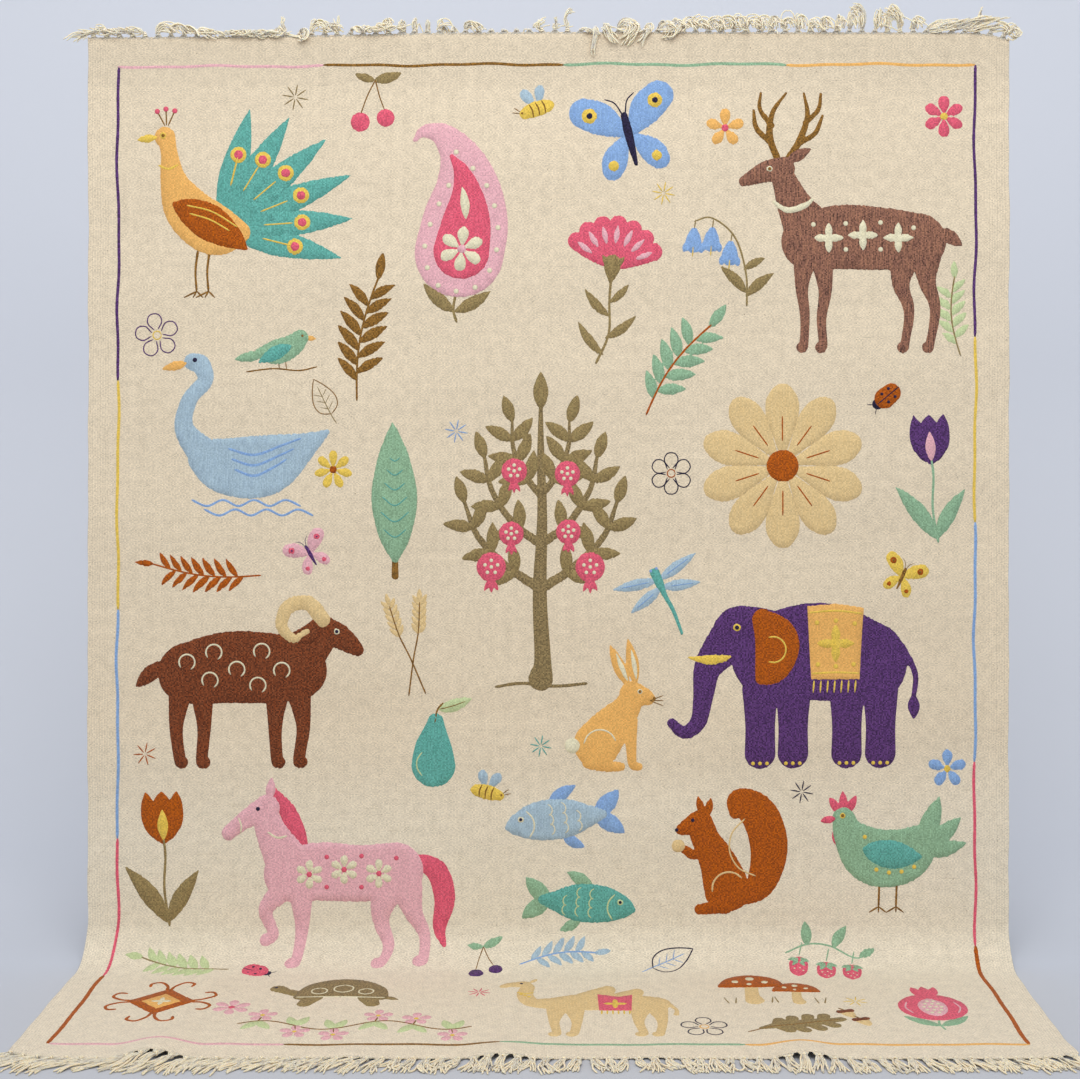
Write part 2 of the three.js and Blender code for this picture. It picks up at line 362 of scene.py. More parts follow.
class Wire:
    """A value on its way to a shader's socket, with arithmetic that adds Math nodes."""

    def __init__(self, sheet: "ShaderSheet", socket: bpy.types.NodeSocket) -> None:
        """Keeps the socket and the sheet of nodes that it belongs to."""
        self.sheet = sheet
        self.socket = socket

    def __add__(self, other: "Wire | float") -> "Wire":
        """The sum."""
        return self.sheet.maths("ADD", self, other)

    def __sub__(self, other: "Wire | float") -> "Wire":
        """The difference."""
        return self.sheet.maths("SUBTRACT", self, other)

    def __mul__(self, other: "Wire | float") -> "Wire":
        """The product."""
        return self.sheet.maths("MULTIPLY", self, other)

    def __truediv__(self, other: "Wire | float") -> "Wire":
        """The quotient."""
        return self.sheet.maths("DIVIDE", self, other)

    def __pow__(self, other: "Wire | float") -> "Wire":
        """The power."""
        return self.sheet.maths("POWER", self, other)

    def __rsub__(self, other: float) -> "Wire":
        """The difference from a number."""
        return self.sheet.maths("SUBTRACT", other, self)

    __radd__ = __add__
    __rmul__ = __mul__

    def floor(self) -> "Wire":
        """The whole number below."""
        return self.sheet.maths("FLOOR", self)

    def arch(self) -> "Wire":
        """A row of round arches from 0 to 1, one for each whole number."""
        return self.sheet.maths("ABSOLUTE", self.sheet.maths("SINE", self * math.pi))

    def odd(self) -> "Wire":
        """0 where the whole number is even, 1 where it is odd."""
        return self.sheet.maths("FLOORED_MODULO", self, 2.0)

    def clipped(self) -> "Wire":
        """The value held between 0 and 1."""
        return self.sheet.node("ShaderNodeClamp", {}, {"Value": self})

    def ramp(self, low: float, high: float) -> "Wire":
        """A smooth step from 0 at low to 1 at high.

        Args:
            low: where the step starts.
            high: where the step ends.

        Returns:
            The wire of the step.
        """
        return self.sheet.node(
            "ShaderNodeMapRange",
            {"interpolation_type": "SMOOTHSTEP"},
            {"Value": self, "From Min": low, "From Max": high},
        )


class ShaderSheet:
    """The nodes of one material, with its Principled shader already in place."""

    def __init__(self, name: str) -> None:
        """Starts a material of that name.

        Args:
            name: the material's name.
        """
        self.material = bpy.data.materials.new(name)
        self.material.use_nodes = True
        self.tree = self.material.node_tree
        self.surface = next(n for n in self.tree.nodes if n.type == "BSDF_PRINCIPLED")

    def node(
        self,
        kind: str,
        settings: dict[str, object],
        sockets: dict[str | int, object],
        output: str | int = 0,
    ) -> Wire:
        """Adds a node.

        Args:
            kind: the node's type.
            settings: its own settings, which are set first.
            sockets: values or wires for its inputs, by name or number.
            output: the output that is wanted.

        Returns:
            The wire of that output.
        """
        made = self.tree.nodes.new(kind)
        for name, value in settings.items():
            setattr(made, name, value)
        for key, value in sockets.items():
            self.plug(made.inputs[key], value)
        return Wire(self, made.outputs[output])

    def plug(self, socket: bpy.types.NodeSocket, value: object) -> None:
        """Sets a socket to a value, or links a wire to it.

        Args:
            socket: the socket.
            value: a value or a wire.
        """
        if isinstance(value, Wire):
            self.tree.links.new(value.socket, socket)
        else:
            socket.default_value = value

    def maths(self, operation: str, *values: "Wire | float") -> Wire:
        """A Math node on up to three values."""
        return self.node("ShaderNodeMath", {"operation": operation}, dict(enumerate(values)))

    def blend(self, share: "Wire | float", first: object, second: object, way: str = "MIX") -> Wire:
        """A mix of two colours.

        Args:
            share: how much of the second.
            first: a colour or wire.
            second: a colour or wire.
            way: the blend type.

        Returns:
            The wire of the mixed colour.
        """
        settings = {"data_type": "RGBA", "blend_type": way}
        return self.node("ShaderNodeMix", settings, {0: share, 6: first, 7: second}, output=2)

    def shaded(self, colour: object, light: Wire) -> Wire:
        """A colour made lighter or darker by a factor about 1."""
        grey = self.node("ShaderNodeCombineColor", {}, {0: light, 1: light, 2: light})
        return self.blend(1.0, colour, grey, "MULTIPLY")

    def vector(self, x: "Wire | float", y: "Wire | float", z: "Wire | float" = 0.0) -> Wire:
        """A vector from three values."""
        return self.node("ShaderNodeCombineXYZ", {}, {0: x, 1: y, 2: z})

    def chance(self, x: Wire, y: "Wire | float", salt: float = 0.0) -> Wire:
        """A repeatable number from 0 to 1 for each pair of whole numbers.

        Args:
            x: the first number.
            y: the second number.
            salt: a number that sets it off from other uses.

        Returns:
            The wire of the number.
        """
        return self.node(
            "ShaderNodeTexWhiteNoise", {"noise_dimensions": "3D"}, {"Vector": self.vector(x, y, salt)}
        )

    def fine(self, column: Wire, row: Wire, apart: float, salt: float = 0.0) -> Wire:
        """A number about 0 for each pair of whole numbers.

        Args:
            column: the first number.
            row: the second number.
            apart: how much it is kept from its four neighbours' numbers, up to 0.25.
            salt: a number that sets it off from other uses.

        Returns:
            The wire of the number.
        """
        beside = self.chance(column - 1.0, row, salt) + self.chance(column + 1.0, row, salt)
        above = self.chance(column, row - 1.0, salt) + self.chance(column, row + 1.0, salt)
        return self.chance(column, row, salt) - (beside + above) * apart - (0.5 - 2.0 * apart)

    def cloud(self, place: Wire, scale: float, detail: float = 2.0) -> Wire:
        """Soft noise about 0.5 at a place.

        Args:
            place: the place.
            scale: how many grains go in a metre.
            detail: how many finer layers it has.

        Returns:
            The wire of the noise.
        """
        return self.node(
            "ShaderNodeTexNoise", {}, {"Vector": place, "Scale": scale, "Detail": detail}
        )

    def pattern(self, name: str) -> tuple[Wire, Wire]:
        """The two coordinates of a UV map, in metres.

        Args:
            name: the map's name.

        Returns:
            The wires of both coordinates.
        """
        way = self.node("ShaderNodeUVMap", {"uv_map": name}, {})
        split = {"Vector": way}
        return (
            self.node("ShaderNodeSeparateXYZ", {}, split, 0),
            self.node("ShaderNodeSeparateXYZ", {}, split, 1),
        )

    def finish(self, colour: Wire, height: Wire, depth: float, roughness: Wire, sheen: float) -> None:
        """Plugs the shader.

        Args:
            colour: the base colour.
            height: the relief, from 0 to 1.
            depth: the relief's depth, in metres.
            roughness: the roughness.
            sheen: how much soft fuzz catches the light.
        """
        bump = self.node(
            "ShaderNodeBump", {}, {"Strength": 1.0, "Distance": depth, "Height": height}
        )
        self.plug(self.surface.inputs["Base Color"], colour)
        self.plug(self.surface.inputs["Normal"], bump)
        self.plug(self.surface.inputs["Roughness"], roughness)
        self.surface.inputs["Sheen Weight"].default_value = sheen
        self.surface.inputs["Sheen Roughness"].default_value = 0.6
        self.surface.inputs["Specular IOR Level"].default_value = 0.2


WEAVE_MAP = "weave"
STITCH_MAP = "stitch"


@dataclass(frozen=True)
class WeaveFinish:
    """The undyed plain weave of the cloth, with ribbed selvedges and a few slubs and specks."""

    colour: tuple[float, float, float] = (226, 210, 183)
    slub_colour: tuple[float, float, float] = (198, 184, 158)
    speck_colour: tuple[float, float, float] = (120, 96, 66)
    # the tint of the painted cool light near the foot of the hanging part
    painted_cool_light_colour: tuple[float, float, float] = (228, 217, 195)
    warp_pitch: float = 0.0040
    weft_pitch: float = 0.0029
    selvedge: float = 0.075
    selvedge_rib: float = 0.0066
    half_width: float = 1.2
    relief: float = 0.0009
    evenness: float = 0.2
    float_roundness: float = 0.45
    slub_grain: tuple[float, float] = (14.0, 300.0)
    slub_step: tuple[float, float] = (0.60, 0.74)
    mottle_grain: float = 42.0
    shade_grain: float = 3.0
    speck_grain: float = 210.0
    speck_step: tuple[float, float] = (0.80, 0.83)
    base_light: float = 0.597
    thread_light: float = 0.13
    tone_light: float = 0.29
    row_light: float = 0.022
    mottle_light: float = 0.34
    shade_light: float = 0.05
    edge_light: float = 0.13
    # painted shade along the top band: how much darker it is, and where it fades out
    painted_top_shade: float = 0.085
    top_shade_band: tuple[float, float] = (0.06, 0.20)
    # where the painted cool light rises near the foot, and where it falls to half on the floor run
    foot: tuple[float, float] = (1.75, 2.15)
    floor: tuple[float, float] = (2.35, 2.6)

    def material(self) -> bpy.types.Material:
        """Builds the material.

        Returns:
            The material.
        """
        sheet = ShaderSheet("undyed_plain_weave")
        across, down = sheet.pattern(WEAVE_MAP)
        warp, weft = across / self.warp_pitch, down / self.weft_pitch
        over = (warp.floor() + weft.floor()).odd()
        warp_float = warp.arch() * weft.arch() ** self.float_roundness
        weft_float = weft.arch() * warp.arch() ** self.float_roundness
        thread = warp_float * over + weft_float * (1.0 - over)
        thread_tone = sheet.fine(warp.floor(), weft.floor(), self.evenness)
        pick_tone = sheet.chance(weft.floor(), 0.5, 3.0)
        end_tone = sheet.chance(warp.floor(), 0.5, 7.0)
        place = sheet.vector(across, down)
        slub_place = sheet.vector(across * self.slub_grain[0], down * self.slub_grain[1])
        slubs = sheet.cloud(slub_place, 1.0).ramp(*self.slub_step)
        mottle = sheet.cloud(place, self.mottle_grain, 3.0)
        shade = sheet.cloud(place, self.shade_grain, 2.0)
        specks = sheet.cloud(place, self.speck_grain, 0.0).ramp(*self.speck_step)
        edge = (sheet.maths("ABSOLUTE", across) - (self.half_width - self.selvedge)).ramp(0.0, 0.03)
        rib = (across / self.selvedge_rib).arch() * edge
        light = (
            self.base_light
            # painted shade: the weave is lighter on the crowns of its floats and darker between the threads
            + thread * self.thread_light
            + thread_tone * self.tone_light
            + (pick_tone + end_tone) * self.row_light
            + mottle * self.mottle_light
            + shade * self.shade_light
            # painted shade between the selvedge's ribs, and lighter rib crowns
            + (rib - edge * 0.5) * self.edge_light
            # painted shade: the weave is darker along its top band, below the top edge
            + down.ramp(*self.top_shade_band) * self.painted_top_shade
        )
        # painted light: a cooler tint towards the foot of the hanging part, at half strength on the floor
        # run
        painted_cool_light = down.ramp(*self.foot) - down.ramp(*self.floor) * 0.5
        ground = sheet.blend(painted_cool_light, linear(self.colour), linear(self.painted_cool_light_colour))
        warm = sheet.blend(slubs * 0.5, ground, linear(self.slub_colour))
        specked = sheet.blend(specks * 0.6, warm, linear(self.speck_colour))
        height = thread * 0.75 + thread_tone * 0.3 + rib * 0.5
        rough = sheet.maths("ADD", 0.86, mottle * 0.1)
        sheet.finish(sheet.shaded(specked, light), height, self.relief, rough, 0.25)
        return sheet.material


@dataclass(frozen=True)
class Wool:
    """A heathered wool: its main colour, the second spun in with it, and how uneven and streaky it is."""

    main: tuple[float, float, float]
    second: tuple[float, float, float]
    uneven: float
    streaky: float = 0.06


class Thread(Enum):
    """The embroidery's wools."""

    MAUVE_BROWN = Wool((139, 96, 81), (131, 92, 71), 0.88, 0.80)
    DARK_BROWN = Wool((112, 53, 23), (118, 64, 36), 1.18)
    BRONZE = Wool((131, 111, 74), (137, 119, 81), 0.85)
    OLIVE = Wool((139, 118, 77), (145, 127, 83), 0.62)
    ORANGE = Wool((230, 177, 100), (224, 169, 93), 0.30)
    RUST = Wool((170, 84, 0), (160, 78, 14), 0.78)
    PURPLE = Wool((79, 45, 100), (87, 54, 106), 1.17)
    PINK = Wool((226, 176, 182), (216, 164, 172), 0.33)
    ROSE = Wool((212, 84, 107), (216, 95, 116), 0.48)
    LIGHT_BLUE = Wool((155, 177, 193), (165, 187, 199), 0.26)
    CORNFLOWER = Wool((126, 159, 206), (134, 167, 208), 0.32)
    MINT = Wool((134, 168, 135), (142, 178, 145), 0.42)
    TEAL = Wool((88, 160, 148), (98, 166, 156), 0.48)
    PALE_GREEN = Wool((187, 201, 150), (195, 207, 158), 0.25)
    YELLOW = Wool((226, 192, 78), (218, 186, 86), 0.35)
    TAN = Wool((219, 192, 141), (213, 184, 131), 0.29)
    BROWN = Wool((127, 88, 31), (134, 98, 44), 0.96)
    NAVY = Wool((30, 24, 53), (39, 34, 61), 1.22)
    CREAM = Wool((223, 217, 188), (216, 208, 175), 0.27)


@dataclass(frozen=True)
class ThreadFinish:
    """Wool worked in close rows of short stitches, heathered in two colours."""

    thread: Thread
    row_pitch: float = 0.0036
    stitch_length: float = 0.0033
    relief: float = 0.0004
    evenness: float = 0.12
    loop_roundness: float = 0.35
    streak_grain: tuple[float, float] = (310.0, 26.0)
    streak_step: tuple[float, float] = (0.30, 0.70)
    patch_grain: float = 55.0
    base_light: float = 0.90
    loop_light: float = 0.08
    patch_light: float = 0.22

    def material(self) -> bpy.types.Material:
        """Builds the material.

        Returns:
            The material.
        """
        wool: Wool = self.thread.value
        sheet = ShaderSheet("wool_" + self.thread.name.lower())
        across, along = sheet.pattern(STITCH_MAP)
        rows, stitches = across / self.row_pitch, along / self.stitch_length
        loop = rows.arch() * (stitches.arch() ** self.loop_roundness * 0.5 + 0.5)
        stitch_tone = sheet.fine(rows.floor(), stitches.floor(), self.evenness, 5.0)
        streak_place = sheet.vector(across * self.streak_grain[0], along * self.streak_grain[1])
        streak = sheet.cloud(streak_place, 1.0, 2.0).ramp(*self.streak_step)
        patchy = sheet.cloud(sheet.vector(across, along), self.patch_grain, 2.0)
        colour = sheet.blend(streak, linear(wool.main), linear(wool.second))
        grain = stitch_tone * wool.uneven + (streak - 0.5) * wool.streaky
        # painted shade: the stitches are lighter on their crowns and darker between the rows, with a random
        # tone for each stitch
        light = self.base_light + grain + loop * self.loop_light + (patchy - 0.5) * self.patch_light
        rough = sheet.maths("ADD", 0.80, patchy * 0.15)
        sheet.finish(sheet.shaded(colour, light), loop, self.relief, rough, 0.06)
        return sheet.material


@dataclass(frozen=True)
class YarnFinish:
    """Soft undyed warp yarn of three plies."""

    name: str = "undyed_plied_yarn"
    colour: tuple[float, float, float] = (255, 235, 203)
    groove_shade_colour: tuple[float, float, float] = (249, 223, 185)
    plies: float = 3.0
    twist: float = 0.016
    relief: float = 0.0007
    fuzz_grain: tuple[float, float] = (9.0, 420.0)
    base_light: float = 0.95
    strand_light: float = 0.10
    ply_light: float = 0.05
    translucent: float = 0.7
    translucent_depth: float = 0.006
    translucent_colours: tuple[float, float, float] = (1.0, 0.85, 0.65)

    def material(self) -> bpy.types.Material:
        """Builds the material.

        Returns:
            The material.
        """
        sheet = ShaderSheet(self.name)
        around, along = sheet.pattern(STITCH_MAP)
        strand = around.floor()
        tone = sheet.chance(strand, 0.5)
        ply = (around * self.plies + along * (self.plies / self.twist)).arch()
        fuzz_place = sheet.vector(around * self.fuzz_grain[0], along * self.fuzz_grain[1])
        fuzz = sheet.cloud(fuzz_place, 1.0, 3.0)
        # painted shade: the yarn turns to its darker colour in the grooves between the plies, mixed with the
        # fuzz's own random tone
        share = (1.0 - ply) * 0.5 + fuzz * 0.3
        colour = sheet.blend(share.clipped(), linear(self.colour), linear(self.groove_shade_colour))
        # painted highlight on the crowns of the plies, with a random tone for each strand
        light = self.base_light + tone * self.strand_light + ply * self.ply_light
        rough = sheet.maths("ADD", 0.85, fuzz * 0.1)
        sheet.finish(sheet.shaded(colour, light), ply * 0.8 + fuzz * 0.2, self.relief, rough, 0.3)
        sheet.surface.inputs["Subsurface Weight"].default_value = self.translucent
        sheet.surface.inputs["Subsurface Radius"].default_value = self.translucent_colours
        sheet.surface.inputs["Subsurface Scale"].default_value = self.translucent_depth
        return sheet.material


# Meshes


@dataclass
class MeshParts:
    """Points and faces that are gathered into one mesh."""

    points: list[Array] = field(default_factory=list)
    faces: list[Sequence[int]] = field(default_factory=list)
    uv: list[Array] = field(default_factory=list)
    finishes: list[Array] = field(default_factory=list)
    smooth: list[Array] = field(default_factory=list)
    count: int = 0

    def add(
        self,
        points: Array,
        faces: Iterable[Sequence[int]],
        uv: Array,
        finish: int = 0,
        smooth: Array | bool = True,
    ) -> None:
        """Adds a shape.

        Args:
            points: its points, a row of three each.
            faces: its faces, as numbers of its own points.
            uv: the place of each point on the finish's pattern, in metres.
            finish: the number of its finish among the piece's own.
            smooth: which of its faces are shaded smooth.
        """
        new = [tuple(int(corner) + self.count for corner in face) for face in faces]
        self.points.append(points)
        self.faces.extend(new)
        self.uv.append(uv)
        self.finishes.append(np.full(len(new), finish))
        self.smooth.append(np.broadcast_to(smooth, len(new)))
        self.count += len(points)

    def piece(self, name: str, materials: Sequence[bpy.types.Material], uv_map: str) -> bpy.types.Object:
        """Makes the piece.

        Args:
            name: the piece's name.
            materials: its finishes, in the order of their numbers.
            uv_map: the name of the map that its finishes read.

        Returns:
            The piece, linked to the scene, smooth and with its place in its mesh.
        """
        mesh = bpy.data.meshes.new(name)
        mesh.from_pydata(np.concatenate(self.points).tolist(), [], self.faces)
        corners = np.empty(len(mesh.loops), np.int32)
        mesh.loops.foreach_get("vertex_index", corners)
        layer = mesh.uv_layers.new(name=uv_map)
        layer.data.foreach_set("uv", np.concatenate(self.uv)[corners].astype(np.float32).ravel())
        mesh.polygons.foreach_set("material_index", np.concatenate(self.finishes).astype(np.int32))
        mesh.polygons.foreach_set("use_smooth", np.concatenate(self.smooth))
        for material in materials:
            mesh.materials.append(material)
        made = bpy.data.objects.new(name, mesh)
        bpy.context.scene.collection.objects.link(made)
        return made


def settle(piece: bpy.types.Object) -> bpy.types.Object:
    """Hangs a finished piece on the body.

    Args:
        piece: the piece.

    Returns:
        The piece.
    """
    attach(piece, BODY)
    LOG.info("%s: %d faces", piece.name, len(piece.data.polygons))
    return piece


def take(made: bpy.types.Object) -> tuple[Array, list[tuple[int, ...]]]:
    """Takes a modelled object's points and faces, and removes the object.

    Args:
        made: the object, whose mesh is copied from then on.

    Returns:
        Its points and its faces.
    """
    points = np.array([v.co for v in made.data.vertices])
    faces = [tuple(p.vertices) for p in made.data.polygons]
    bpy.data.objects.remove(made)
    return points, faces


def ordered(points: Array, faces: Sequence[tuple[int, ...]]) -> tuple[Array, list[tuple[int, ...]]]:
    """Puts a shape's points and faces in order of place, since a sphere's order isn't the same each run.

    Args:
        points: its points.
        faces: its faces.

    Returns:
        The same points and faces, sorted.
    """
    order = np.lexsort(points.round(6).T)
    rank = np.argsort(order).tolist()
    turned = []
    for face in faces:
        corners = [rank[corner] for corner in face]
        first = corners.index(min(corners))
        turned.append(tuple(corners[first:] + corners[:first]))
    return points[order], sorted(turned)


def smooth_way(stations: Array, parts: int) -> Array:
    """A smooth way through stations, by Catmull and Rom's rule.

    Args:
        stations: rows of numbers, the place first.
        parts: how many steps each span is cut into.

    Returns:
        The rows of the finer way.
    """
    if len(stations) < 3:
        shares = np.linspace(0, 1, parts + 1)[:, None]
        return stations[0] * (1 - shares) + stations[-1] * shares
    ends = np.vstack([2 * stations[0] - stations[1], stations, 2 * stations[-1] - stations[-2]])
    rows = [stations[:1]]
    for before, a, b, after in zip(ends, ends[1:], ends[2:], ends[3:]):
        t = np.linspace(0, 1, parts + 1)[1:, None]
        lean = (b - before) * t + (2 * before - 5 * a + 4 * b - after) * t**2
        rows.append(a + 0.5 * (lean + (3 * a - before - 3 * b + after) * t**3))
    way = np.vstack(rows)
    way[:, 2:] = np.maximum(way[:, 2:], 0.0)
    return way


@dataclass(frozen=True)
class Cloth:
    """The woven cloth: one closed sheet on the solid's surface, with thicker ribs along its selvedges."""

    form: KilimForm
    thick: float = 0.003
    rib_rise: float = 0.0007
    rib_pitch: float = 0.0072
    rib_zone: float = 0.026
    edge_share: float = 0.55
    scallop: float = 0.0011
    scallop_reach: float = 0.05
    rows_hanging: int = 138
    rows_in_bend: int = 14
    rows_on_floor: int = 44

    def grid(self) -> tuple[Array, Array]:
        """The places of the mesh's columns and rows, closer together along the selvedges.

        Returns:
            The places across and the lengths down.
        """
        half = self.form.width / 2
        fine = np.arange(0, self.rib_zone, self.rib_pitch / 4)
        broad = np.linspace(-half, half, 3 * self.form.bunches + 1)
        inner = broad[np.abs(broad) < half - self.rib_zone]
        across = np.concatenate([-half + fine, inner, half - fine[::-1]])
        hang, bend = self.form.hang_length, self.form.hang_length + self.form.bend_length
        down = np.concatenate(
            [
                np.linspace(0, hang, self.rows_hanging),
                np.linspace(hang, bend, self.rows_in_bend)[1:],
                np.linspace(bend, self.form.length, self.rows_on_floor)[1:],
            ]
        )
        return across, down

    def build(self) -> bpy.types.Object:
        """Builds the sheet and puts it in place of its solid.

        Returns:
            The sheet.
        """
        across, down = self.grid()
        x, s = np.meshgrid(across, down, indexing="ij")
        half = self.form.width / 2
        from_side = half - np.abs(x)
        rib = np.abs(np.sin(np.pi * from_side / self.rib_pitch)) * (1 - ease(from_side / self.rib_zone))
        rim = np.ones_like(x)
        rim[[0, -1], :] = self.edge_share
        rim[:, [0, -1]] = self.edge_share
        height = self.thick / 2 * rim + self.rib_rise * rib
        near_front = ease((s - self.form.length) / self.scallop_reach + 1)
        near_top = ease(1 - s / self.scallop_reach)
        scallop = self.scallop * np.cos(2 * np.pi * x / self.form.bunch_pitch)
        pulled = s + scallop * (near_front - near_top)
        rows, columns = len(down), len(across)
        sheet = rows * columns
        points = np.concatenate(
            [self.form.point(x, pulled, sign * height).reshape(-1, 3) for sign in (1, -1)]
        )
        points[:, 2] = np.maximum(points[:, 2], 0.0)
        uv = np.tile(np.stack([x, s], axis=-1).reshape(-1, 2), (2, 1))
        at = np.arange(sheet).reshape(columns, rows)
        a, b, c, d = at[:-1, :-1], at[:-1, 1:], at[1:, 1:], at[1:, :-1]
        front = np.stack([a, b, c, d], axis=-1).reshape(-1, 4)
        back = front[:, ::-1] + sheet
        walls = [self.wall(at[0, :], sheet), self.wall(at[-1, ::-1], sheet)]
        walls += [self.wall(at[:, -1], sheet), self.wall(at[::-1, 0], sheet)]
        parts = MeshParts()
        parts.add(points, np.concatenate([front, back, *walls]), uv)
        piece = parts.piece("kilim_sheet", [WeaveFinish().material()], WEAVE_MAP)
        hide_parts("kilim_cloth")
        return settle(piece)

    @staticmethod
    def wall(line: Array, sheet: int) -> Array:
        """The faces between a line of the front's edge and the same line of the back."""
        p, q = line[:-1], line[1:]
        return np.stack([q, p, p + sheet, q + sheet], axis=-1)


# Drawings of the embroidery, in millimetres about their own middles, with y up


@dataclass(frozen=True)
class Limb:
    """A tapered stroke: the places that it passes through, each with its half width."""

    stations: tuple[Station, ...]


@dataclass(frozen=True)
class Plate:
    """An area with straight sides: its corners, counter-clockwise."""

    corners: tuple[tuple[float, float], ...]


@dataclass(frozen=True)
class Fill:
    """An area worked in one wool: the union of its shapes."""

    thread: Thread
    shapes: tuple[Limb | Plate, ...]


@dataclass(frozen=True)
class Line:
    """A stitched line: the places that it passes through, each with its half width."""

    thread: Thread
    stations: tuple[Station, ...]


@dataclass(frozen=True)
class Dots:
    """Small knots worked in one wool."""

    thread: Thread
    spots: tuple[tuple[float, float], ...]
    radius: float = 5.0


Drawing = list[Fill | Line | Dots]


def limb(*stations: Station) -> Limb:
    """A tapered stroke through stations of x, y and half width."""
    return Limb(stations)


def disc(x: float, y: float, radius: float) -> Limb:
    """A round spot."""
    return Limb(((x, y, radius),))


def plate(*corners: tuple[float, float]) -> Plate:
    """An area with straight sides between its corners."""
    return Plate(corners)


def fill(thread: Thread, *shapes: Limb | Plate) -> Fill:
    """An area in one wool."""
    return Fill(thread, shapes)


def line(thread: Thread, *stations: Station) -> Line:
    """A stitched line through stations of x, y and half width."""
    return Line(thread, stations)


def knots(thread: Thread, radius: float, *spots: tuple[float, float]) -> Dots:
    """Small knots of a radius at spots."""
    return Dots(thread, spots, radius)


def ahead(x: float, y: float, turn: float, far: float, aside: float = 0.0) -> tuple[float, float]:
    """The place that lies far ahead of x and y in a direction, and aside to its left."""
    c, n = math.cos(math.radians(turn)), math.sin(math.radians(turn))
    return (x + far * c - aside * n, y + far * n + aside * c)


LEAF_SHAPE = ((0.0, 0.16), (0.2, 0.72), (0.45, 1.0), (0.7, 0.74), (0.88, 0.36), (1.0, 0.04))
PETAL_SHAPE = ((0.0, 0.14), (0.3, 0.52), (0.6, 0.92), (0.8, 1.0), (0.94, 0.72))


def leaf(
    x: float,
    y: float,
    turn: float,
    long: float,
    wide: float,
    bend: float = 0.0,
    shape: Sequence[tuple[float, float]] = LEAF_SHAPE,
) -> Limb:
    """A leaf from its foot at x and y.

    Args:
        x: the foot's place across.
        y: the foot's place up.
        turn: the way it points, in degrees from the right.
        long: its length.
        wide: its width.
        bend: how far its tip bends to the left.
        shape: share of the length and of the half width for each station.

    Returns:
        The limb.
    """
    rows = [(*ahead(x, y, turn, far * long, bend * far**2), wide / 2 * share) for far, share in shape]
    return Limb(tuple(rows))


def petal(x: float, y: float, turn: float, long: float, wide: float, bend: float = 0.0) -> Limb:
    """A petal with a round end, from its foot at x and y."""
    return leaf(x, y, turn, long, wide, bend, PETAL_SHAPE)


def arc(
    thread: Thread, x: float, y: float, radius: float, start: float, end: float, half_width: float
) -> Line:
    """A stitched part of a circle, from one angle to another.

    Args:
        thread: the wool.
        x: the circle's middle across.
        y: the circle's middle up.
        radius: its radius.
        start: the first angle.
        end: the last angle.
        half_width: half the line's width.

    Returns:
        The line.
    """
    steps = max(3, int(abs(end - start) / 30) + 1)
    turns = np.linspace(start, end, steps)
    return Line(thread, tuple((*ahead(x, y, turn, radius), half_width) for turn in turns))


def ringed(x: float, y: float, radius: float, count: int, start: float = 90.0) -> list[Station]:
    """Places round a circle, each with its angle."""
    turns = [start + 360.0 * k / count for k in range(count)]
    return [(*ahead(x, y, turn, radius), turn) for turn in turns]


def cross(x: float, y: float, size: float) -> tuple[Limb, ...]:
    """A small flower of four leaves."""
    return tuple(leaf(x, y, turn, size, size * 0.5) for turn in (0, 90, 180, 270))


def tulip(flower: Thread, heart: Thread, green: Thread) -> Drawing:
    """A tulip with two long leaves, 290 high.

    Args:
        flower: the flower's wool.
        heart: the wool of its middle.
        green: the leaves' wool.

    Returns:
        The drawing.
    """
    return [
        line(green, (4, -150, 4.5), (-4, -70, 4), (2, 0, 4), (0, 44, 4)),
        fill(green, leaf(0, -140, 118, 150, 40, 18)), fill(green, leaf(2, -140, 64, 128, 36, -16)),
        fill(
            flower, leaf(0, 34, 90, 108, 62), leaf(-6, 36, 112, 110, 46, -14), leaf(6, 36, 68, 110, 46, 14),
        ),
        fill(heart, leaf(0, 40, 90, 64, 24)),
    ]


def carnation() -> Drawing:
    """A fan-shaped carnation on a bent stalk, 320 high.

    Returns:
        The drawing.
    """
    fan = range(28, 153, 20)
    return [
        line(Thread.OLIVE, (-14, -170, 4.5), (8, -100, 4), (2, -30, 4), (0, 30, 4.5)),
        fill(Thread.OLIVE, leaf(2, -110, 30, 84, 22, 18), leaf(4, -60, 150, 80, 22, -18)),
        fill(Thread.OLIVE, leaf(0, -148, 146, 92, 22, -22), leaf(2, -30, 38, 60, 18, 12)),
        fill(
            Thread.ROSE,
            *(leaf(0, 46, turn, 112, 40, shape=((0, 0.2), (0.5, 0.8), (0.9, 1.0))) for turn in fan),
        ),
        fill(Thread.PINK, *(leaf(*ahead(0, 46, turn, 58), turn, 42, 13) for turn in fan)),
        fill(Thread.OLIVE, petal(0, 14, 90, 54, 38), leaf(0, 40, 55, 44, 16), leaf(0, 40, 125, 44, 16)),
    ]


def rosette(petals: Thread, heart: Thread, count: int, radius: float, plump: float = 0.5) -> Drawing:
    """A round flower seen from the front, with a vein on each petal where it is large.

    Args:
        petals: the petals' wool.
        heart: the wool of its middle.
        count: how many there are.
        radius: its radius.
        plump: a petal's width as a share of the radius.

    Returns:
        The drawing.
    """
    return [
        *(
            fill(petals, petal(*ahead(0, 0, turn, radius * 0.12), turn, radius * 0.9, radius * plump))
            for _, _, turn in ringed(0, 0, 0, count)
        ),
        *(
            line(heart, *((*ahead(0, 0, turn, radius * far), 2.6) for far in (0.34, 0.5, 0.68)))
            for _, _, turn in ringed(0, 0, 0, count if radius > 90 else 0)
        ),
        fill(heart, disc(0, 0, radius * 0.22)),
    ]


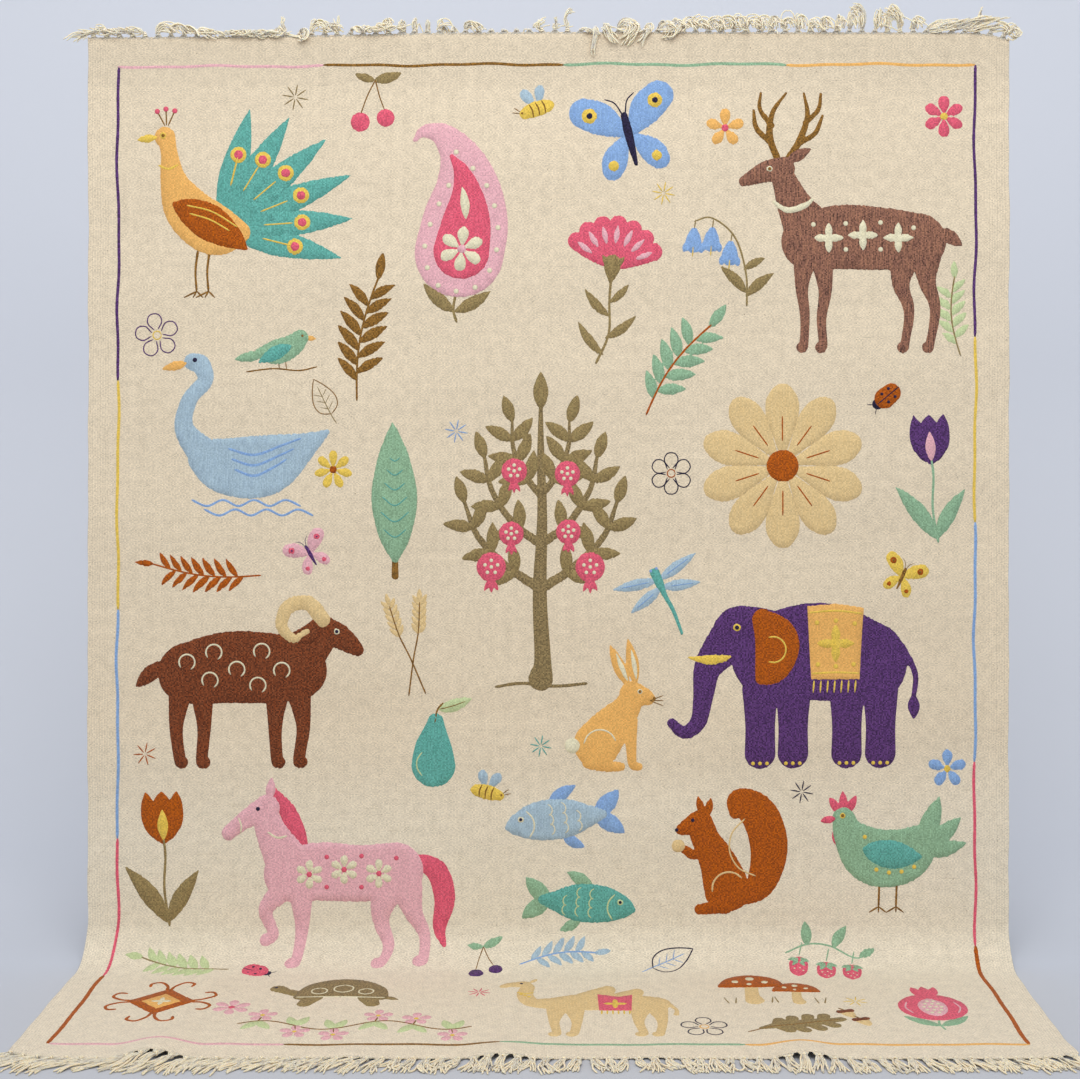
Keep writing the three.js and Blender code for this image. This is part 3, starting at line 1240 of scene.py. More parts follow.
def outlined_flower(edge: Thread, heart: Thread, count: int, radius: float) -> Drawing:
    """A flower drawn in lines.

    Args:
        edge: the wool of its lines.
        heart: the wool of its middle.
        count: how many there are.
        radius: its radius.

    Returns:
        The drawing.
    """
    return [
        arc(heart, 0, 0, radius * 0.2, 0, 360, 2.8),
        *(
            line(
                edge,
                *(
                    (*ahead(0, 0, turn, far * radius, aside * radius), 2.8)
                    for far, aside in (
                        (0.26, -0.08), (0.62, -0.34), (0.98, -0.2), (0.98, 0.2), (0.62, 0.34), (0.26, 0.08),
                    )
                ),
            )
            for _, _, turn in ringed(0, 0, 0, count)
        ),
    ]


def outlined_leaf(edge: Thread, vein: Thread, long: float) -> Drawing:
    """A broad leaf on a stalk, drawn in lines.

    Args:
        edge: the wool of its lines.
        vein: the wool of its veins.
        long: its length.

    Returns:
        The drawing.
    """
    drawn: Drawing = [line(vein, (0, -long * 0.72, 3), (-4, -long * 0.4, 3), (0, long * 0.34, 2.4))]
    for side in (-1, 1):
        drawn.append(
            line(
                edge,
                *(
                    (side * x * long, y * long, 3.2)
                    for x, y in [(0, -0.44), (0.24, -0.3), (0.3, -0.04), (0.18, 0.28), (0, 0.56)]
                ),
            ),
        )
        for y in (-0.3, -0.12, 0.06):
            drawn.append(line(vein, (0, y * long, 2.2), (side * 0.18 * long, (y + 0.14) * long, 2)))
    return drawn


def spray(thread: Thread, count: int, radius: float) -> Drawing:
    """Short stitches round a point.

    Args:
        thread: the wool.
        count: how many there are.
        radius: its radius.

    Returns:
        The drawing.
    """
    return [
        line(thread, (*a, 2.4), (*b, 2.4))
        for a, b in [
            (ahead(0, 0, turn, radius * 0.16), ahead(0, 0, turn, radius))
            for _, _, turn in ringed(0, 0, 0, count, 80)
        ]
    ]


def sprig(
    green: Thread,
    stalk: Thread,
    pairs: int,
    long: float,
    leaf_long: float,
    leaf_wide: float,
    spread: float = 42.0,
    bow: float = 20.0,
) -> Drawing:
    """A stalk with leaves in pairs and one at its tip.

    Args:
        green: the leaves' wool.
        stalk: the stalk's wool.
        pairs: how many pairs.
        long: the stalk's length.
        leaf_long: a leaf's length.
        leaf_wide: a leaf's width.
        spread: the angle between a leaf and the stalk.
        bow: how far the stalk's middle stands to the left.

    Returns:
        The drawing.
    """
    drawn: Drawing = [
        line(
            stalk,
            *(
                (x, y, 3.8)
                for x, y in [(-bow * math.sin(math.pi * t), long * (t - 0.5)) for t in np.linspace(0, 1, 7)]
            ),
        ),
    ]
    for side, turn in ((-1, 90 + spread), (1, 90 - spread)):
        leaves = []
        for k in range(pairs):
            t = 0.16 + 0.72 * (k + 0.25 * (side + 1)) / pairs
            size = 1 - 0.35 * abs(t - 0.45)
            leaves.append(
                leaf(
                    -bow * math.sin(math.pi * t), long * (t - 0.5), turn, leaf_long * size, leaf_wide * size,
                    -side * leaf_long * 0.14,
                ),
            )
        drawn.append(fill(green, *leaves))
    return [*drawn, fill(green, leaf(0, long / 2 - 6, 90, leaf_long * 0.85, leaf_wide * 0.9))]


def boteh() -> Drawing:
    """A bent almond with a flower in it, 330 high.

    Returns:
        The drawing.
    """
    dots = [
        (-62, -130), (-72, -86), (-66, -40), (-52, 4), (-36, 44), (66, -122), (76, -78), (74, -32), (62, 12),
    ]
    dots += [(42, 52), (-36, -164), (40, -160), (2, -172), (10, 84), (-28, 114)]
    return [
        line(Thread.OLIVE, (10, -236, 4.5), (0, -210, 4), (2, -176, 4)),
        fill(Thread.OLIVE, leaf(4, -214, 28, 84, 28, 12), leaf(2, -214, 152, 84, 28, -12)),
        fill(
            Thread.PINK,
            limb(
                (0, -92, 92), (6, -30, 88), (4, 40, 66), (-18, 104, 42), (-58, 146, 24), (-98, 150, 12),
                (-116, 130, 4),
            ),
        ),
        fill(Thread.ROSE, limb((4, -88, 58), (8, -30, 50), (4, 28, 32), (-12, 74, 17), (-36, 104, 5))),
        fill(Thread.CREAM, *(petal(x, y, turn, 34, 24) for x, y, turn in ringed(4, -84, 6, 6))),
        fill(Thread.PINK, disc(4, -84, 9)), fill(Thread.CREAM, leaf(6, -20, 96, 66, 20, 8)),
        knots(Thread.CREAM, 5.5, *dots),
    ]


def butterfly(wing: Thread, spot: Thread, body: Thread) -> Drawing:
    """A butterfly from above, 240 wide.

    Args:
        wing: the wings' wool.
        spot: the spots' wool.
        body: the body's wool.

    Returns:
        The drawing.
    """
    drawn: Drawing = []
    for side in (-1, 1):
        drawn += [
            fill(wing, limb((side * 12, 10, 12), (side * 52, 50, 36), (side * 86, 72, 34))),
            fill(wing, limb((side * 12, -6, 10), (side * 42, -44, 28), (side * 54, -66, 24))),
            fill(spot, disc(side * 76, 64, 17), disc(side * 50, -58, 12)),
            fill(body, disc(side * 76, 64, 7)),
            line(body, (side * 3, 48, 2.4), (side * 14, 78, 2.2), (side * 34, 92, 2.2)),
        ]
    return [*drawn, fill(body, limb((0, 46, 8), (0, 10, 10), (0, -30, 8), (0, -66, 4)))]


# A standing stag that looks to the left, 460 wide and 590 high
STAG: Drawing = [
    fill(
        Thread.BROWN, limb((-190, 186, 8), (-208, 236, 8), (-202, 290, 6), (-172, 334, 3)),
        limb((-206, 224, 7), (-238, 256, 6), (-244, 296, 3)),
        limb((-204, 262, 7), (-230, 298, 5), (-228, 334, 3)),
        limb((-168, 186, 8), (-140, 232, 8), (-124, 284, 6), (-132, 334, 3)),
        limb((-144, 222, 7), (-108, 244, 6), (-90, 284, 3)),
        limb((-128, 268, 7), (-100, 298, 5), (-94, 332, 3)),
    ),
    fill(
        Thread.MAUVE_BROWN, limb((-118, 4, 64), (-50, 14, 72), (40, 10, 70), (122, 4, 62)),
        limb((-114, 20, 58), (-150, 82, 40), (-174, 138, 28), (-184, 166, 25)),
        limb((-178, 166, 27), (-214, 160, 24), (-248, 146, 16), (-266, 138, 11)),
        leaf(-170, 182, 28, 62, 26), leaf(172, 30, -38, 60, 30),
        limb((-128, -30, 28), (-136, -96, 15), (-129, -160, 11), (-131, -222, 10), (-136, -232, 13)),
        limb((-92, -36, 26), (-84, -104, 15), (-92, -168, 11), (-89, -222, 10), (-94, -232, 13)),
        limb((96, -20, 36), (84, -88, 20), (102, -150, 12), (92, -222, 10), (87, -232, 13)),
        limb((138, -16, 38), (142, -84, 20), (160, -146, 12), (148, -222, 10), (143, -232, 13)),
    ),
    fill(Thread.CREAM, *cross(-76, 12, 34), *cross(0, 18, 34), *cross(78, 12, 34)),
    fill(Thread.CREAM, limb((-198, 92, 4), (-168, 74, 7), (-130, 84, 7), (-112, 98, 4))),
    knots(Thread.CREAM, 5.5, (-38, 44), (-38, -14), (39, 46), (39, -14), (112, 34), (-110, 42)),
    fill(Thread.CREAM, disc(-208, 166, 7)), knots(Thread.BROWN, 4, (-208, 166)),
]

# A ram with a coiled horn that looks to the right, 430 wide
RAM: Drawing = [
    fill(
        Thread.DARK_BROWN, limb((-112, 0, 62), (-30, 12, 72), (56, 10, 70), (106, 6, 58)),
        limb((100, 24, 52), (140, 64, 38), (158, 84, 31)),
        limb((156, 84, 31), (188, 74, 25), (216, 54, 17), (226, 46, 12)), leaf(-164, 22, 222, 74, 32),
        *(
            limb((x, -40, 24), (x + lean, -108, 14), (x, -172, 12), (x + 4, -178, 13))
            for x, lean in ((-130, -8), (-86, 4), (64, -4), (108, 8))
        ),
    ),
    fill(
        Thread.TAN,
        limb((156, 108, 15), (128, 140, 15), (88, 134, 14), (74, 96, 12), (98, 70, 9), (124, 84, 6)),
    ),
    fill(Thread.DARK_BROWN, leaf(150, 78, 200, 46, 20)),
    *(
        arc(Thread.CREAM, x, y, 16, -60, 220, 2.4)
        for x, y in [(-116, 22), (-70, -14), (-62, 42), (-16, 8), (26, -24), (34, 44), (74, 6)]
    ),
    fill(Thread.CREAM, disc(184, 84, 6)), knots(Thread.NAVY, 3.6, (184, 84)),
]

# An elephant with a rug on its back that looks to the right, 520 wide
ELEPHANT: Drawing = [
    fill(
        Thread.PURPLE, limb((-120, 14, 84), (-30, 36, 98), (62, 28, 88)), limb((92, 58, 66), (128, 68, 60)),
        limb((156, 56, 42), (196, 4, 28), (206, -56, 20), (216, -106, 16), (244, -126, 13), (268, -108, 10)),
        limb((-192, 44, 9), (-220, -8, 6), (-216, -60, 5)), leaf(-216, -52, -92, 48, 24),
        *(limb((x, -40, 36), (x, -110, 30), (x, -168, 31)) for x in (-150, -82, 26, 92)),
    ),
    fill(Thread.ORANGE, plate((-108, -20), (-10, -20), (-2, 128), (-62, 132), (-116, 124))),
    fill(Thread.YELLOW, *cross(-60, 52, 38)), line(Thread.YELLOW, (-107, -8, 3), (-60, -6, 3), (-11, -8, 3)),
    line(Thread.YELLOW, (-113, 112, 3), (-60, 118, 3), (-4, 114, 3)),
    knots(Thread.YELLOW, 5, (-96, 10), (-60, 6), (-24, 10), (-98, 92), (-60, 98), (-22, 94)),
    *(line(Thread.YELLOW, (x, -22, 2.6), (x + 2, -46, 2.4)) for x in range(-100, -15, 14)),
    fill(Thread.RUST, limb((86, 100, 22), (58, 58, 44), (66, 10, 36), (90, -18, 12))),
    arc(Thread.YELLOW, 66, 40, 26, 70, 290, 2.4), fill(Thread.YELLOW, leaf(150, 26, -18, 84, 20, 26)),
    fill(Thread.YELLOW, disc(138, 84, 8)), knots(Thread.NAVY, 4.5, (138, 84)),
    knots(Thread.YELLOW, 4, *((x + dx, -188) for x in (-150, -82, 26, 92) for dx in (-14, 0, 14))),
]


def peacock() -> Drawing:
    """A peacock with its tail behind it that looks to the left, 520 wide.

    Returns:
        The drawing.
    """
    turns = (-14, 4, 22, 40, 58, 76)
    drawn: Drawing = [fill(Thread.TEAL, leaf(38, -34, turn, 316 - abs(turn - 28), 62)) for turn in turns]
    for turn in turns:
        spot = ahead(38, -34, turn, (316 - abs(turn - 28)) * 0.62)
        drawn += [fill(Thread.YELLOW, disc(*spot, 18)), fill(Thread.ROSE, disc(*spot, 10))]
        drawn.append(
            line(Thread.YELLOW, (*ahead(38, -34, turn, 96), 2.4), (*ahead(38, -34, turn, 160), 2.4)),
        )
    crest = [(ahead(-80, 184, turn, 8), ahead(-80, 184, turn, 44)) for turn in (66, 92, 118)]
    drawn += [
        *(line(Thread.BROWN, (*foot, 2.2), (*top, 2.2)) for foot, top in crest),
        knots(Thread.ROSE, 6, *(top for _, top in crest)),
    ]
    for x in (-12, 14):
        drawn.append(line(Thread.BROWN, (x, -84, 4.5), (x - 5, -130, 3.6), (x - 2, -176, 3.6)))
        drawn += [line(Thread.BROWN, (x - 2, -174, 3), (x + dx, -188, 2.6)) for dx in (-30, -10, 12)]
    return [
        *drawn,
        fill(
            Thread.ORANGE,
            limb((78, -44, 26), (24, -38, 56), (-32, 4, 52), (-64, 68, 30), (-74, 128, 19), (-80, 160, 20)),
            disc(-84, 166, 23),
        ),
        fill(Thread.RUST, leaf(-62, 18, -24, 186, 80, -26)),
        line(Thread.YELLOW, (-36, 16, 2.6), (20, 2, 2.6), (76, -32, 2.6)),
        line(Thread.YELLOW, (-30, -2, 2.6), (16, -16, 2.6), (58, -40, 2.6)),
        line(Thread.YELLOW, (-98, 104, 3), (-76, 96, 3.4), (-54, 106, 3)),
        fill(Thread.YELLOW, leaf(-102, 166, 188, 44, 18)), fill(Thread.YELLOW, disc(-88, 170, 7)),
        knots(Thread.BROWN, 4, (-88, 170)),
    ]


def swan() -> Drawing:
    """A swan on the water that looks to the left, 330 wide.

    Returns:
        The drawing.
    """
    drawn: Drawing = [
        fill(
            Thread.LIGHT_BLUE,
            limb((150, 50, 5), (104, 22, 26), (30, -14, 58), (-40, -16, 54), (-82, 0, 36)),
            limb(
                (-84, 4, 32), (-124, 56, 19), (-114, 112, 15), (-84, 148, 15), (-92, 178, 18),
                (-108, 184, 17),
            ),
        ),
        fill(Thread.ORANGE, leaf(-120, 182, 194, 48, 18)), knots(Thread.NAVY, 4.5, (-104, 188)),
    ]
    for k in range(3):
        y = 22 - 20 * k
        drawn.append(
            line(
                Thread.CORNFLOWER, (-40 + 6 * k, y - 4, 3.4), (10, y - 16, 3.8), (62 - 6 * k, y + 2, 3.4),
                (100 - 14 * k, y + 16, 2.6),
            ),
        )
    for y, x in ((-86, 0), (-104, 24)):
        drawn.append(
            line(
                Thread.CORNFLOWER,
                *((x + dx, y + 6 * (-1) ** k, 3) for k, dx in enumerate(range(-110, 120, 30))),
            ),
        )
    return drawn


def fish(body: Thread, fin: Thread, trim: Thread, dark: Thread) -> Drawing:
    """A fish that swims to the left, 300 wide.

    Args:
        body: the body's wool.
        fin: the fins' wool.
        trim: the wool of the small stitches.
        dark: the wool of the darkest stitches.

    Returns:
        The drawing.
    """
    return [
        fill(fin, leaf(78, 0, 32, 84, 44, 10), leaf(78, 0, -32, 84, 44, -10)),
        fill(fin, leaf(-30, 40, 40, 78, 34, -16), leaf(-6, -40, -46, 58, 28, 10)),
        fill(body, limb((-140, -2, 8), (-108, 2, 30), (-58, 4, 48), (0, 2, 48), (56, 0, 28), (96, 0, 12))),
        arc(trim, -116, 0, 42, -52, 52, 3),
        *(arc(trim, x, y, 15, -70, 70, 2.4) for x in (-40, -6, 28) for y in (-20, 4, 28) if abs(y) + x < 52),
        fill(trim, disc(-106, 14, 8)), knots(dark, 4.2, (-106, 14)),
    ]


# A sitting hare that looks to the right, 250 wide and 330 high
HARE: Drawing = [
    fill(
        Thread.ORANGE, limb((-44, -56, 62), (-8, -10, 52), (30, 34, 38), (50, 70, 32)),
        limb((50, 76, 35), (80, 70, 24), (92, 66, 18)), leaf(40, 98, 118, 122, 34, -8),
        leaf(58, 102, 96, 124, 34, 8), limb((40, 4, 24), (46, -56, 15), (50, -108, 12), (66, -116, 11)),
        limb((-66, -104, 18), (-20, -114, 16), (18, -116, 12)),
    ),
    fill(Thread.CREAM, disc(-110, -60, 20), leaf(38, 112, 117, 84, 13, -6), leaf(60, 116, 96, 84, 13, 6)),
    arc(Thread.CREAM, -36, -62, 44, 20, 170, 3), fill(Thread.CREAM, disc(70, 84, 7)),
    knots(Thread.BROWN, 4.4, (70, 84), (108, 66)),
    *(line(Thread.BROWN, (96, 60, 1.8), (132, y, 1.6)) for y in (74, 60, 46)),
]

# A hen that looks to the left, 260 wide
HEN: Drawing = [
    *(line(Thread.BROWN, (x, -60, 3.4), (x - 2, -112, 3)) for x in (-14, 22)),
    *(
        line(Thread.BROWN, (x - 2, -110, 2.6), (x + dx, -122, 2.4))
        for x in (-14, 22)
        for dx in (-22, -2, 14)
    ),
    fill(
        Thread.ROSE, leaf(-80, 84, 62, 40, 18), leaf(-88, 86, 92, 42, 18), leaf(-96, 84, 124, 38, 18),
        leaf(-104, 50, -84, 36, 20),
    ),
    fill(
        Thread.MINT, limb((-88, 72, 23), (-74, 36, 34), (-28, -6, 58), (32, -6, 56), (78, 28, 34)),
        leaf(70, 20, 62, 104, 40, 10), leaf(78, 10, 36, 100, 38, 8), leaf(80, 0, 12, 88, 34, 4),
    ),
    fill(Thread.TEAL, leaf(-44, 8, -14, 118, 60, 14)), fill(Thread.ROSE, leaf(-106, 72, 190, 30, 16)),
    fill(Thread.YELLOW, disc(-90, 78, 6)), knots(Thread.BROWN, 3.6, (-90, 78)),
    knots(Thread.YELLOW, 4.6, (-20, -34), (6, -40), (32, -38), (-44, 34), (58, -28)),
]


def fruit_tree() -> Drawing:
    """A tree with bent boughs and round fruit, 420 wide and 650 high.

    Returns:
        The drawing.
    """
    wood_shapes = [limb((0, -318, 26), (4, -280, 18), (-2, -140, 15), (3, 20, 11), (0, 150, 8), (0, 262, 4))]
    leaves: list[Limb] = [leaf(0, 250, 90, 76, 32)]
    drawn: Drawing = []
    for side in (-1, 1):
        for way in [
            ((0, -130, 11), (70, -84, 9), (132, -20, 7), (160, 52, 4)),
            ((0, -36, 10), (58, 8, 8), (104, 80, 6), (118, 146, 4)),
            ((0, 66, 8), (34, 110, 7), (58, 168, 5), (60, 222, 3)),
        ]:
            wood_shapes.append(limb(*((side * x, y, r) for x, y, r in way)))
            fine = smooth_way(np.array(way, float), 4)
            for k in range(3, len(fine) - 1, 3):
                heading = math.degrees(math.atan2(*(fine[k + 1] - fine[k - 1])[1::-1]))
                for turn in (heading + 52, heading - 52):
                    leaves.append(
                        leaf(side * fine[k, 0], fine[k, 1], turn if side > 0 else 180 - turn, 64, 27, 6),
                    )
            leaves.append(leaf(side * fine[-1, 0], fine[-1, 1], 90 - side * 18, 58, 26))
    return [
        *drawn, fill(Thread.BRONZE, *wood_shapes), fill(Thread.OLIVE, *leaves[:len(leaves) // 2]),
        fill(Thread.OLIVE, *leaves[len(leaves) // 2:]),
        *(
            stitch
            for x, y, r in (
                (-104, -84, 31), (104, -84, 31), (-56, 118, 27), (58, -10, 26), (-62, -14, 26),
                (56, 112, 27),
            )
            for stitch in (
                fill(
                    Thread.ROSE, disc(x, y, r),
                    *(leaf(x, y - r * 0.8, turn, r * 0.95, r * 0.36) for turn in (-60, -90, -120)),
                ),
                knots(Thread.CREAM, 4, *((px, py) for px, py, _ in ringed(x, y, r * 0.45, 5)), (x, y)),
            )
        ),
        line(Thread.BRONZE, (-96, -336, 4), (-40, -328, 4.5), (30, -334, 4.5), (98, -328, 4)),
    ]


# Two toadstools in the grass, 250 wide
MUSHROOMS: Drawing = [
    *(
        stitch
        for x, y, k in ((-44, 10, 1.0), (64, -24, 0.72))
        for stitch in (
            fill(
                Thread.TAN,
                limb((x, y - 4 * k, 17 * k), (x - 3, y - 60 * k, 18 * k), (x, y - 96 * k, 24 * k)),
            ),
            fill(
                Thread.RUST,
                limb(
                    (x - 74 * k, y, 10 * k), (x - 40 * k, y + 24 * k, 32 * k), (x, y + 34 * k, 42 * k),
                    (x + 40 * k, y + 24 * k, 32 * k), (x + 74 * k, y, 10 * k),
                ),
            ),
            fill(
                Thread.CREAM,
                *(
                    disc(x + a * k, y + b * k, r * k)
                    for a, b, r in ((-38, 30, 9), (0, 50, 11), (36, 26, 9), (-4, 14, 7))
                ),
            ),
        )
    ),
    *(
        line(Thread.OLIVE, (x, -104, 3), (x + lean, -66, 2.2))
        for x, lean in ((-108, -10), (-92, 4), (-4, 6), (12, -6), (110, -6), (124, 8))
    ),
]


def berries() -> Drawing:
    """Three strawberries on a bough, 260 wide.

    Returns:
        The drawing.
    """
    drawn: Drawing = [
        line(Thread.MINT, (-124, 24, 4), (-60, 58, 4), (10, 60, 4), (84, 30, 4), (124, 44, 3)),
        fill(
            Thread.MINT, leaf(-60, 56, 96, 70, 34, 8), leaf(20, 58, 70, 72, 34, -8),
            leaf(100, 36, 34, 52, 26),
        ),
    ]
    for x, y in ((-82, -34), (0, -44), (76, -46)):
        top = y + 44
        drawn += [
            line(Thread.MINT, (x + 6, top + 52, 3), (x, top + 10, 3)),
            fill(Thread.ROSE, limb((x, y - 38, 5), (x, y - 8, 25), (x, y + 22, 29))),
            fill(Thread.MINT, *(leaf(x, top, turn, 34, 15) for turn in (-12, -56, -124, -168))),
            knots(
                Thread.CREAM, 3.2,
                *((x + a, y + b) for a, b in ((-12, 4), (4, 8), (14, -4), (-4, -14), (6, -24))),
            ),
        ]
    return drawn


# A pear with a leaf, 220 high
PEAR: Drawing = [
    line(Thread.BROWN, (4, 60, 3.6), (10, 92, 3.6), (26, 112, 4)),
    fill(Thread.TEAL, limb((0, -50, 58), (0, -8, 48), (4, 38, 29), (6, 64, 20))),
    fill(Thread.PALE_GREEN, leaf(14, 94, 12, 92, 34, 12)),
    line(Thread.BROWN, (16, 95, 2), (52, 104, 1.8), (84, 116, 1.4)),
    arc(Thread.PALE_GREEN, -4, -48, 40, 130, 230, 2.6),
]


def wheat() -> Drawing:
    """Two ears of wheat on crossed stalks, 300 high.

    Returns:
        The drawing.
    """
    drawn: Drawing = []
    for side in (-1, 1):
        drawn.append(
            line(
                Thread.BROWN, (side * -26, -150, 3.4), (side * 4, -40, 3.4), (side * 30, 40, 3.2),
                (side * 46, 128, 3),
            ),
        )
        for k in range(5):
            for turn in (90 - side * 8 + 34, 90 - side * 8 - 34):
                drawn.append(fill(Thread.TAN, leaf(side * (30 + 3.6 * k), 34 + 21 * k, turn, 40, 16)))
        drawn.append(fill(Thread.TAN, leaf(side * 46, 130, 90 - side * 8, 40, 16)))
    return drawn


def bee(body: Thread, stripe: Thread, wing: Thread) -> Drawing:
    """A bee, 110 wide.

    Args:
        body: the body's wool.
        stripe: the stripes' wool.
        wing: the wings' wool.

    Returns:
        The drawing.
    """
    return [
        fill(wing, petal(-2, 8, 112, 58, 34), petal(8, 8, 66, 56, 32)),
        fill(body, limb((-42, -2, 16), (-8, 0, 24), (30, -2, 20), (48, -4, 8))),
        *(line(stripe, (x - 3, 20, 3.2), (x + 1, 0, 3.6), (x - 3, -22, 3.2)) for x in (-16, 4, 24)),
        line(stripe, (-52, 8, 1.8), (-66, 26, 1.8)), line(stripe, (-56, 4, 1.8), (-76, 14, 1.8)),
        knots(stripe, 3.6, (-48, 2)),
    ]


def ladybird(shell: Thread, dark: Thread) -> Drawing:
    """A ladybird from above, 90 wide.

    Args:
        shell: the shell's wool.
        dark: the wool of the darkest stitches.

    Returns:
        The drawing.
    """
    return [
        fill(dark, disc(-36, 0, 17)), fill(shell, limb((-8, 0, 32), (18, 0, 30))),
        line(dark, (-36, 0, 2.4), (48, 0, 2.4)), knots(dark, 5, (-6, 16), (20, 16), (-6, -16), (20, -16)),
        line(dark, (-48, 8, 1.8), (-62, 20, 1.8)), line(dark, (-48, -8, 1.8), (-62, -20, 1.8)),
    ]


# A lozenge with a pair of hooks at each corner, as on old flat weaves, 240 wide
HOOKED_LOZENGE: Drawing = [
    fill(Thread.RUST, plate((0, -72), (72, 0), (0, 72), (-72, 0))),
    fill(Thread.ORANGE, plate((0, -42), (42, 0), (0, 42), (-42, 0))), fill(Thread.CREAM, *cross(0, 0, 22)),
    *(
        line(
            Thread.RUST,
            *(
                (*ahead(0, 0, turn, far, aside), 4.6)
                for far, aside in [
                    (62, side * 4), (86, side * 8), (108, side * 26), (100, side * 46), (82, side * 44),
                ]
            ),
        )
        for turn in (0, 90, 180, 270)
        for side in (-1, 1)
    ),
]


def oak() -> Drawing:
    """An oak leaf with two acorns, 300 wide.

    Returns:
        The drawing.
    """
    shapes = [limb((-110, 0, 8), (-60, 2, 18), (0, 2, 22), (60, 0, 16), (92, 0, 12))]
    for x, r in [(-70, 26), (-34, 34), (6, 34), (44, 26)]:
        shapes += [limb((x, 4, 14), (x + 16, 4 + r, 16)), limb((x, -4, 14), (x + 16, -4 - r, 16))]
    return [
        line(Thread.BROWN, (-150, -10, 3.6), (-110, -2, 3.6)), fill(Thread.OLIVE, *shapes),
        line(Thread.BROWN, (-108, 0, 2.6), (0, 2, 2.6), (88, 0, 2.2)),
        *(
            stitch
            for x, y in ((122, 34), (136, -22))
            for stitch in (
                fill(Thread.TAN, limb((x, y, 17), (x + 2, y - 18, 12), (x + 2, y - 30, 4))),
                fill(Thread.DARK_BROWN, limb((x - 14, y + 10, 9), (x + 14, y + 10, 9))),
                line(Thread.BROWN, (x, y + 16, 2.6), (x - 8, y + 32, 2.6)),
            )
        ),
    ]


# An open pomegranate on a leafy twig, 300 high
POMEGRANATE: Drawing = [
    line(Thread.MINT, (0, -150, 4), (-6, -116, 4), (0, -84, 4)),
    fill(Thread.MINT, leaf(-4, -128, 30, 92, 30, 14), leaf(-4, -128, 150, 92, 30, -14)),
    fill(
        Thread.ROSE, disc(0, -18, 78), leaf(0, 40, 90, 70, 30), leaf(-4, 44, 118, 66, 28, -10),
        leaf(4, 44, 62, 66, 28, 10),
    ),
    fill(Thread.PINK, limb((0, -64, 8), (0, -40, 28), (0, -8, 32), (0, 24, 10))),
    knots(
        Thread.CREAM, 4.8,
        *(
            (x, y)
            for y, xs in (
                (-52, (-8, 8)), (-36, (-16, 0, 16)), (-18, (-20, -6, 8, 20)), (0, (-14, 2, 16)),
                (16, (-6, 8)),
            )
            for x in xs
        ),
    ),
    arc(Thread.PINK, 0, -18, 62, 150, 215, 3), arc(Thread.PINK, 0, -18, 62, -35, 30, 3),
]


def vine() -> Drawing:
    """A wavy vine with leaves and small flowers, 560 wide.

    Returns:
        The drawing.
    """
    wave = [(x, 26 * math.sin(x / 46.0), 3.8) for x in range(-276, 280, 23)]
    drawn: Drawing = [line(Thread.BROWN, *wave)]
    for k in range(2, len(wave) - 2, 4):
        (x, y, _) = wave[k]
        side = 1 if y > 0 else -1
        drawn.append(
            fill(Thread.PALE_GREEN, leaf(x, y, -side * 60, 60, 26, 6), leaf(x, y, -side * 118, 60, 26, -6)),
        )
        drawn += [
            line(Thread.BROWN, (x, y, 2.6), (x + 4, y + side * 24, 2.6)),
            fill(
                Thread.PINK,
                *(petal(px, py, turn, 25, 22) for px, py, turn in ringed(x + 4, y + side * 36, 5, 5)),
            ),
            knots(Thread.YELLOW, 6, (x + 4, y + side * 36)),
        ]
    return drawn


# A camel with a tasselled rug that looks to the left, 460 wide
CAMEL: Drawing = [
    fill(
        Thread.TAN, limb((-104, 24, 42), (-40, 34, 52), (40, 34, 52), (112, 22, 44)),
        limb((-34, 60, 40), (0, 104, 26), (8, 122, 16)), limb((44, 60, 36), (72, 92, 22), (78, 106, 14)),
        limb((-128, 24, 34), (-172, 30, 24), (-190, 78, 20), (-186, 128, 18), (-196, 146, 19)),
        limb((-196, 148, 20), (-228, 142, 15), (-244, 134, 11)), leaf(-180, 160, 60, 30, 14),
        limb((150, 22, 8), (166, -16, 5), (164, -44, 7)),
        *(
            limb((x, -10, 26), (x + lean, -84, 13), (x, -150, 11), (x - 6, -160, 14))
            for x, lean in ((-112, -6), (-72, 6), (84, -8), (122, 8))
        ),
    ),
    fill(Thread.ROSE, plate((-14, -20), (62, -20), (66, 80), (34, 66), (-18, 84))),
    fill(Thread.YELLOW, *cross(24, 22, 28)),
    *(line(Thread.YELLOW, (x, -18, 2.6), (x, -42, 2.4)) for x in range(-8, 62, 13)),
    line(Thread.YELLOW, (-210, 92, 3), (-188, 86, 3.4), (-170, 94, 3)), knots(Thread.NAVY, 4.4, (-202, 152)),
    knots(Thread.YELLOW, 4.6, (-190, 74), (-180, 66), (-200, 80)),
]

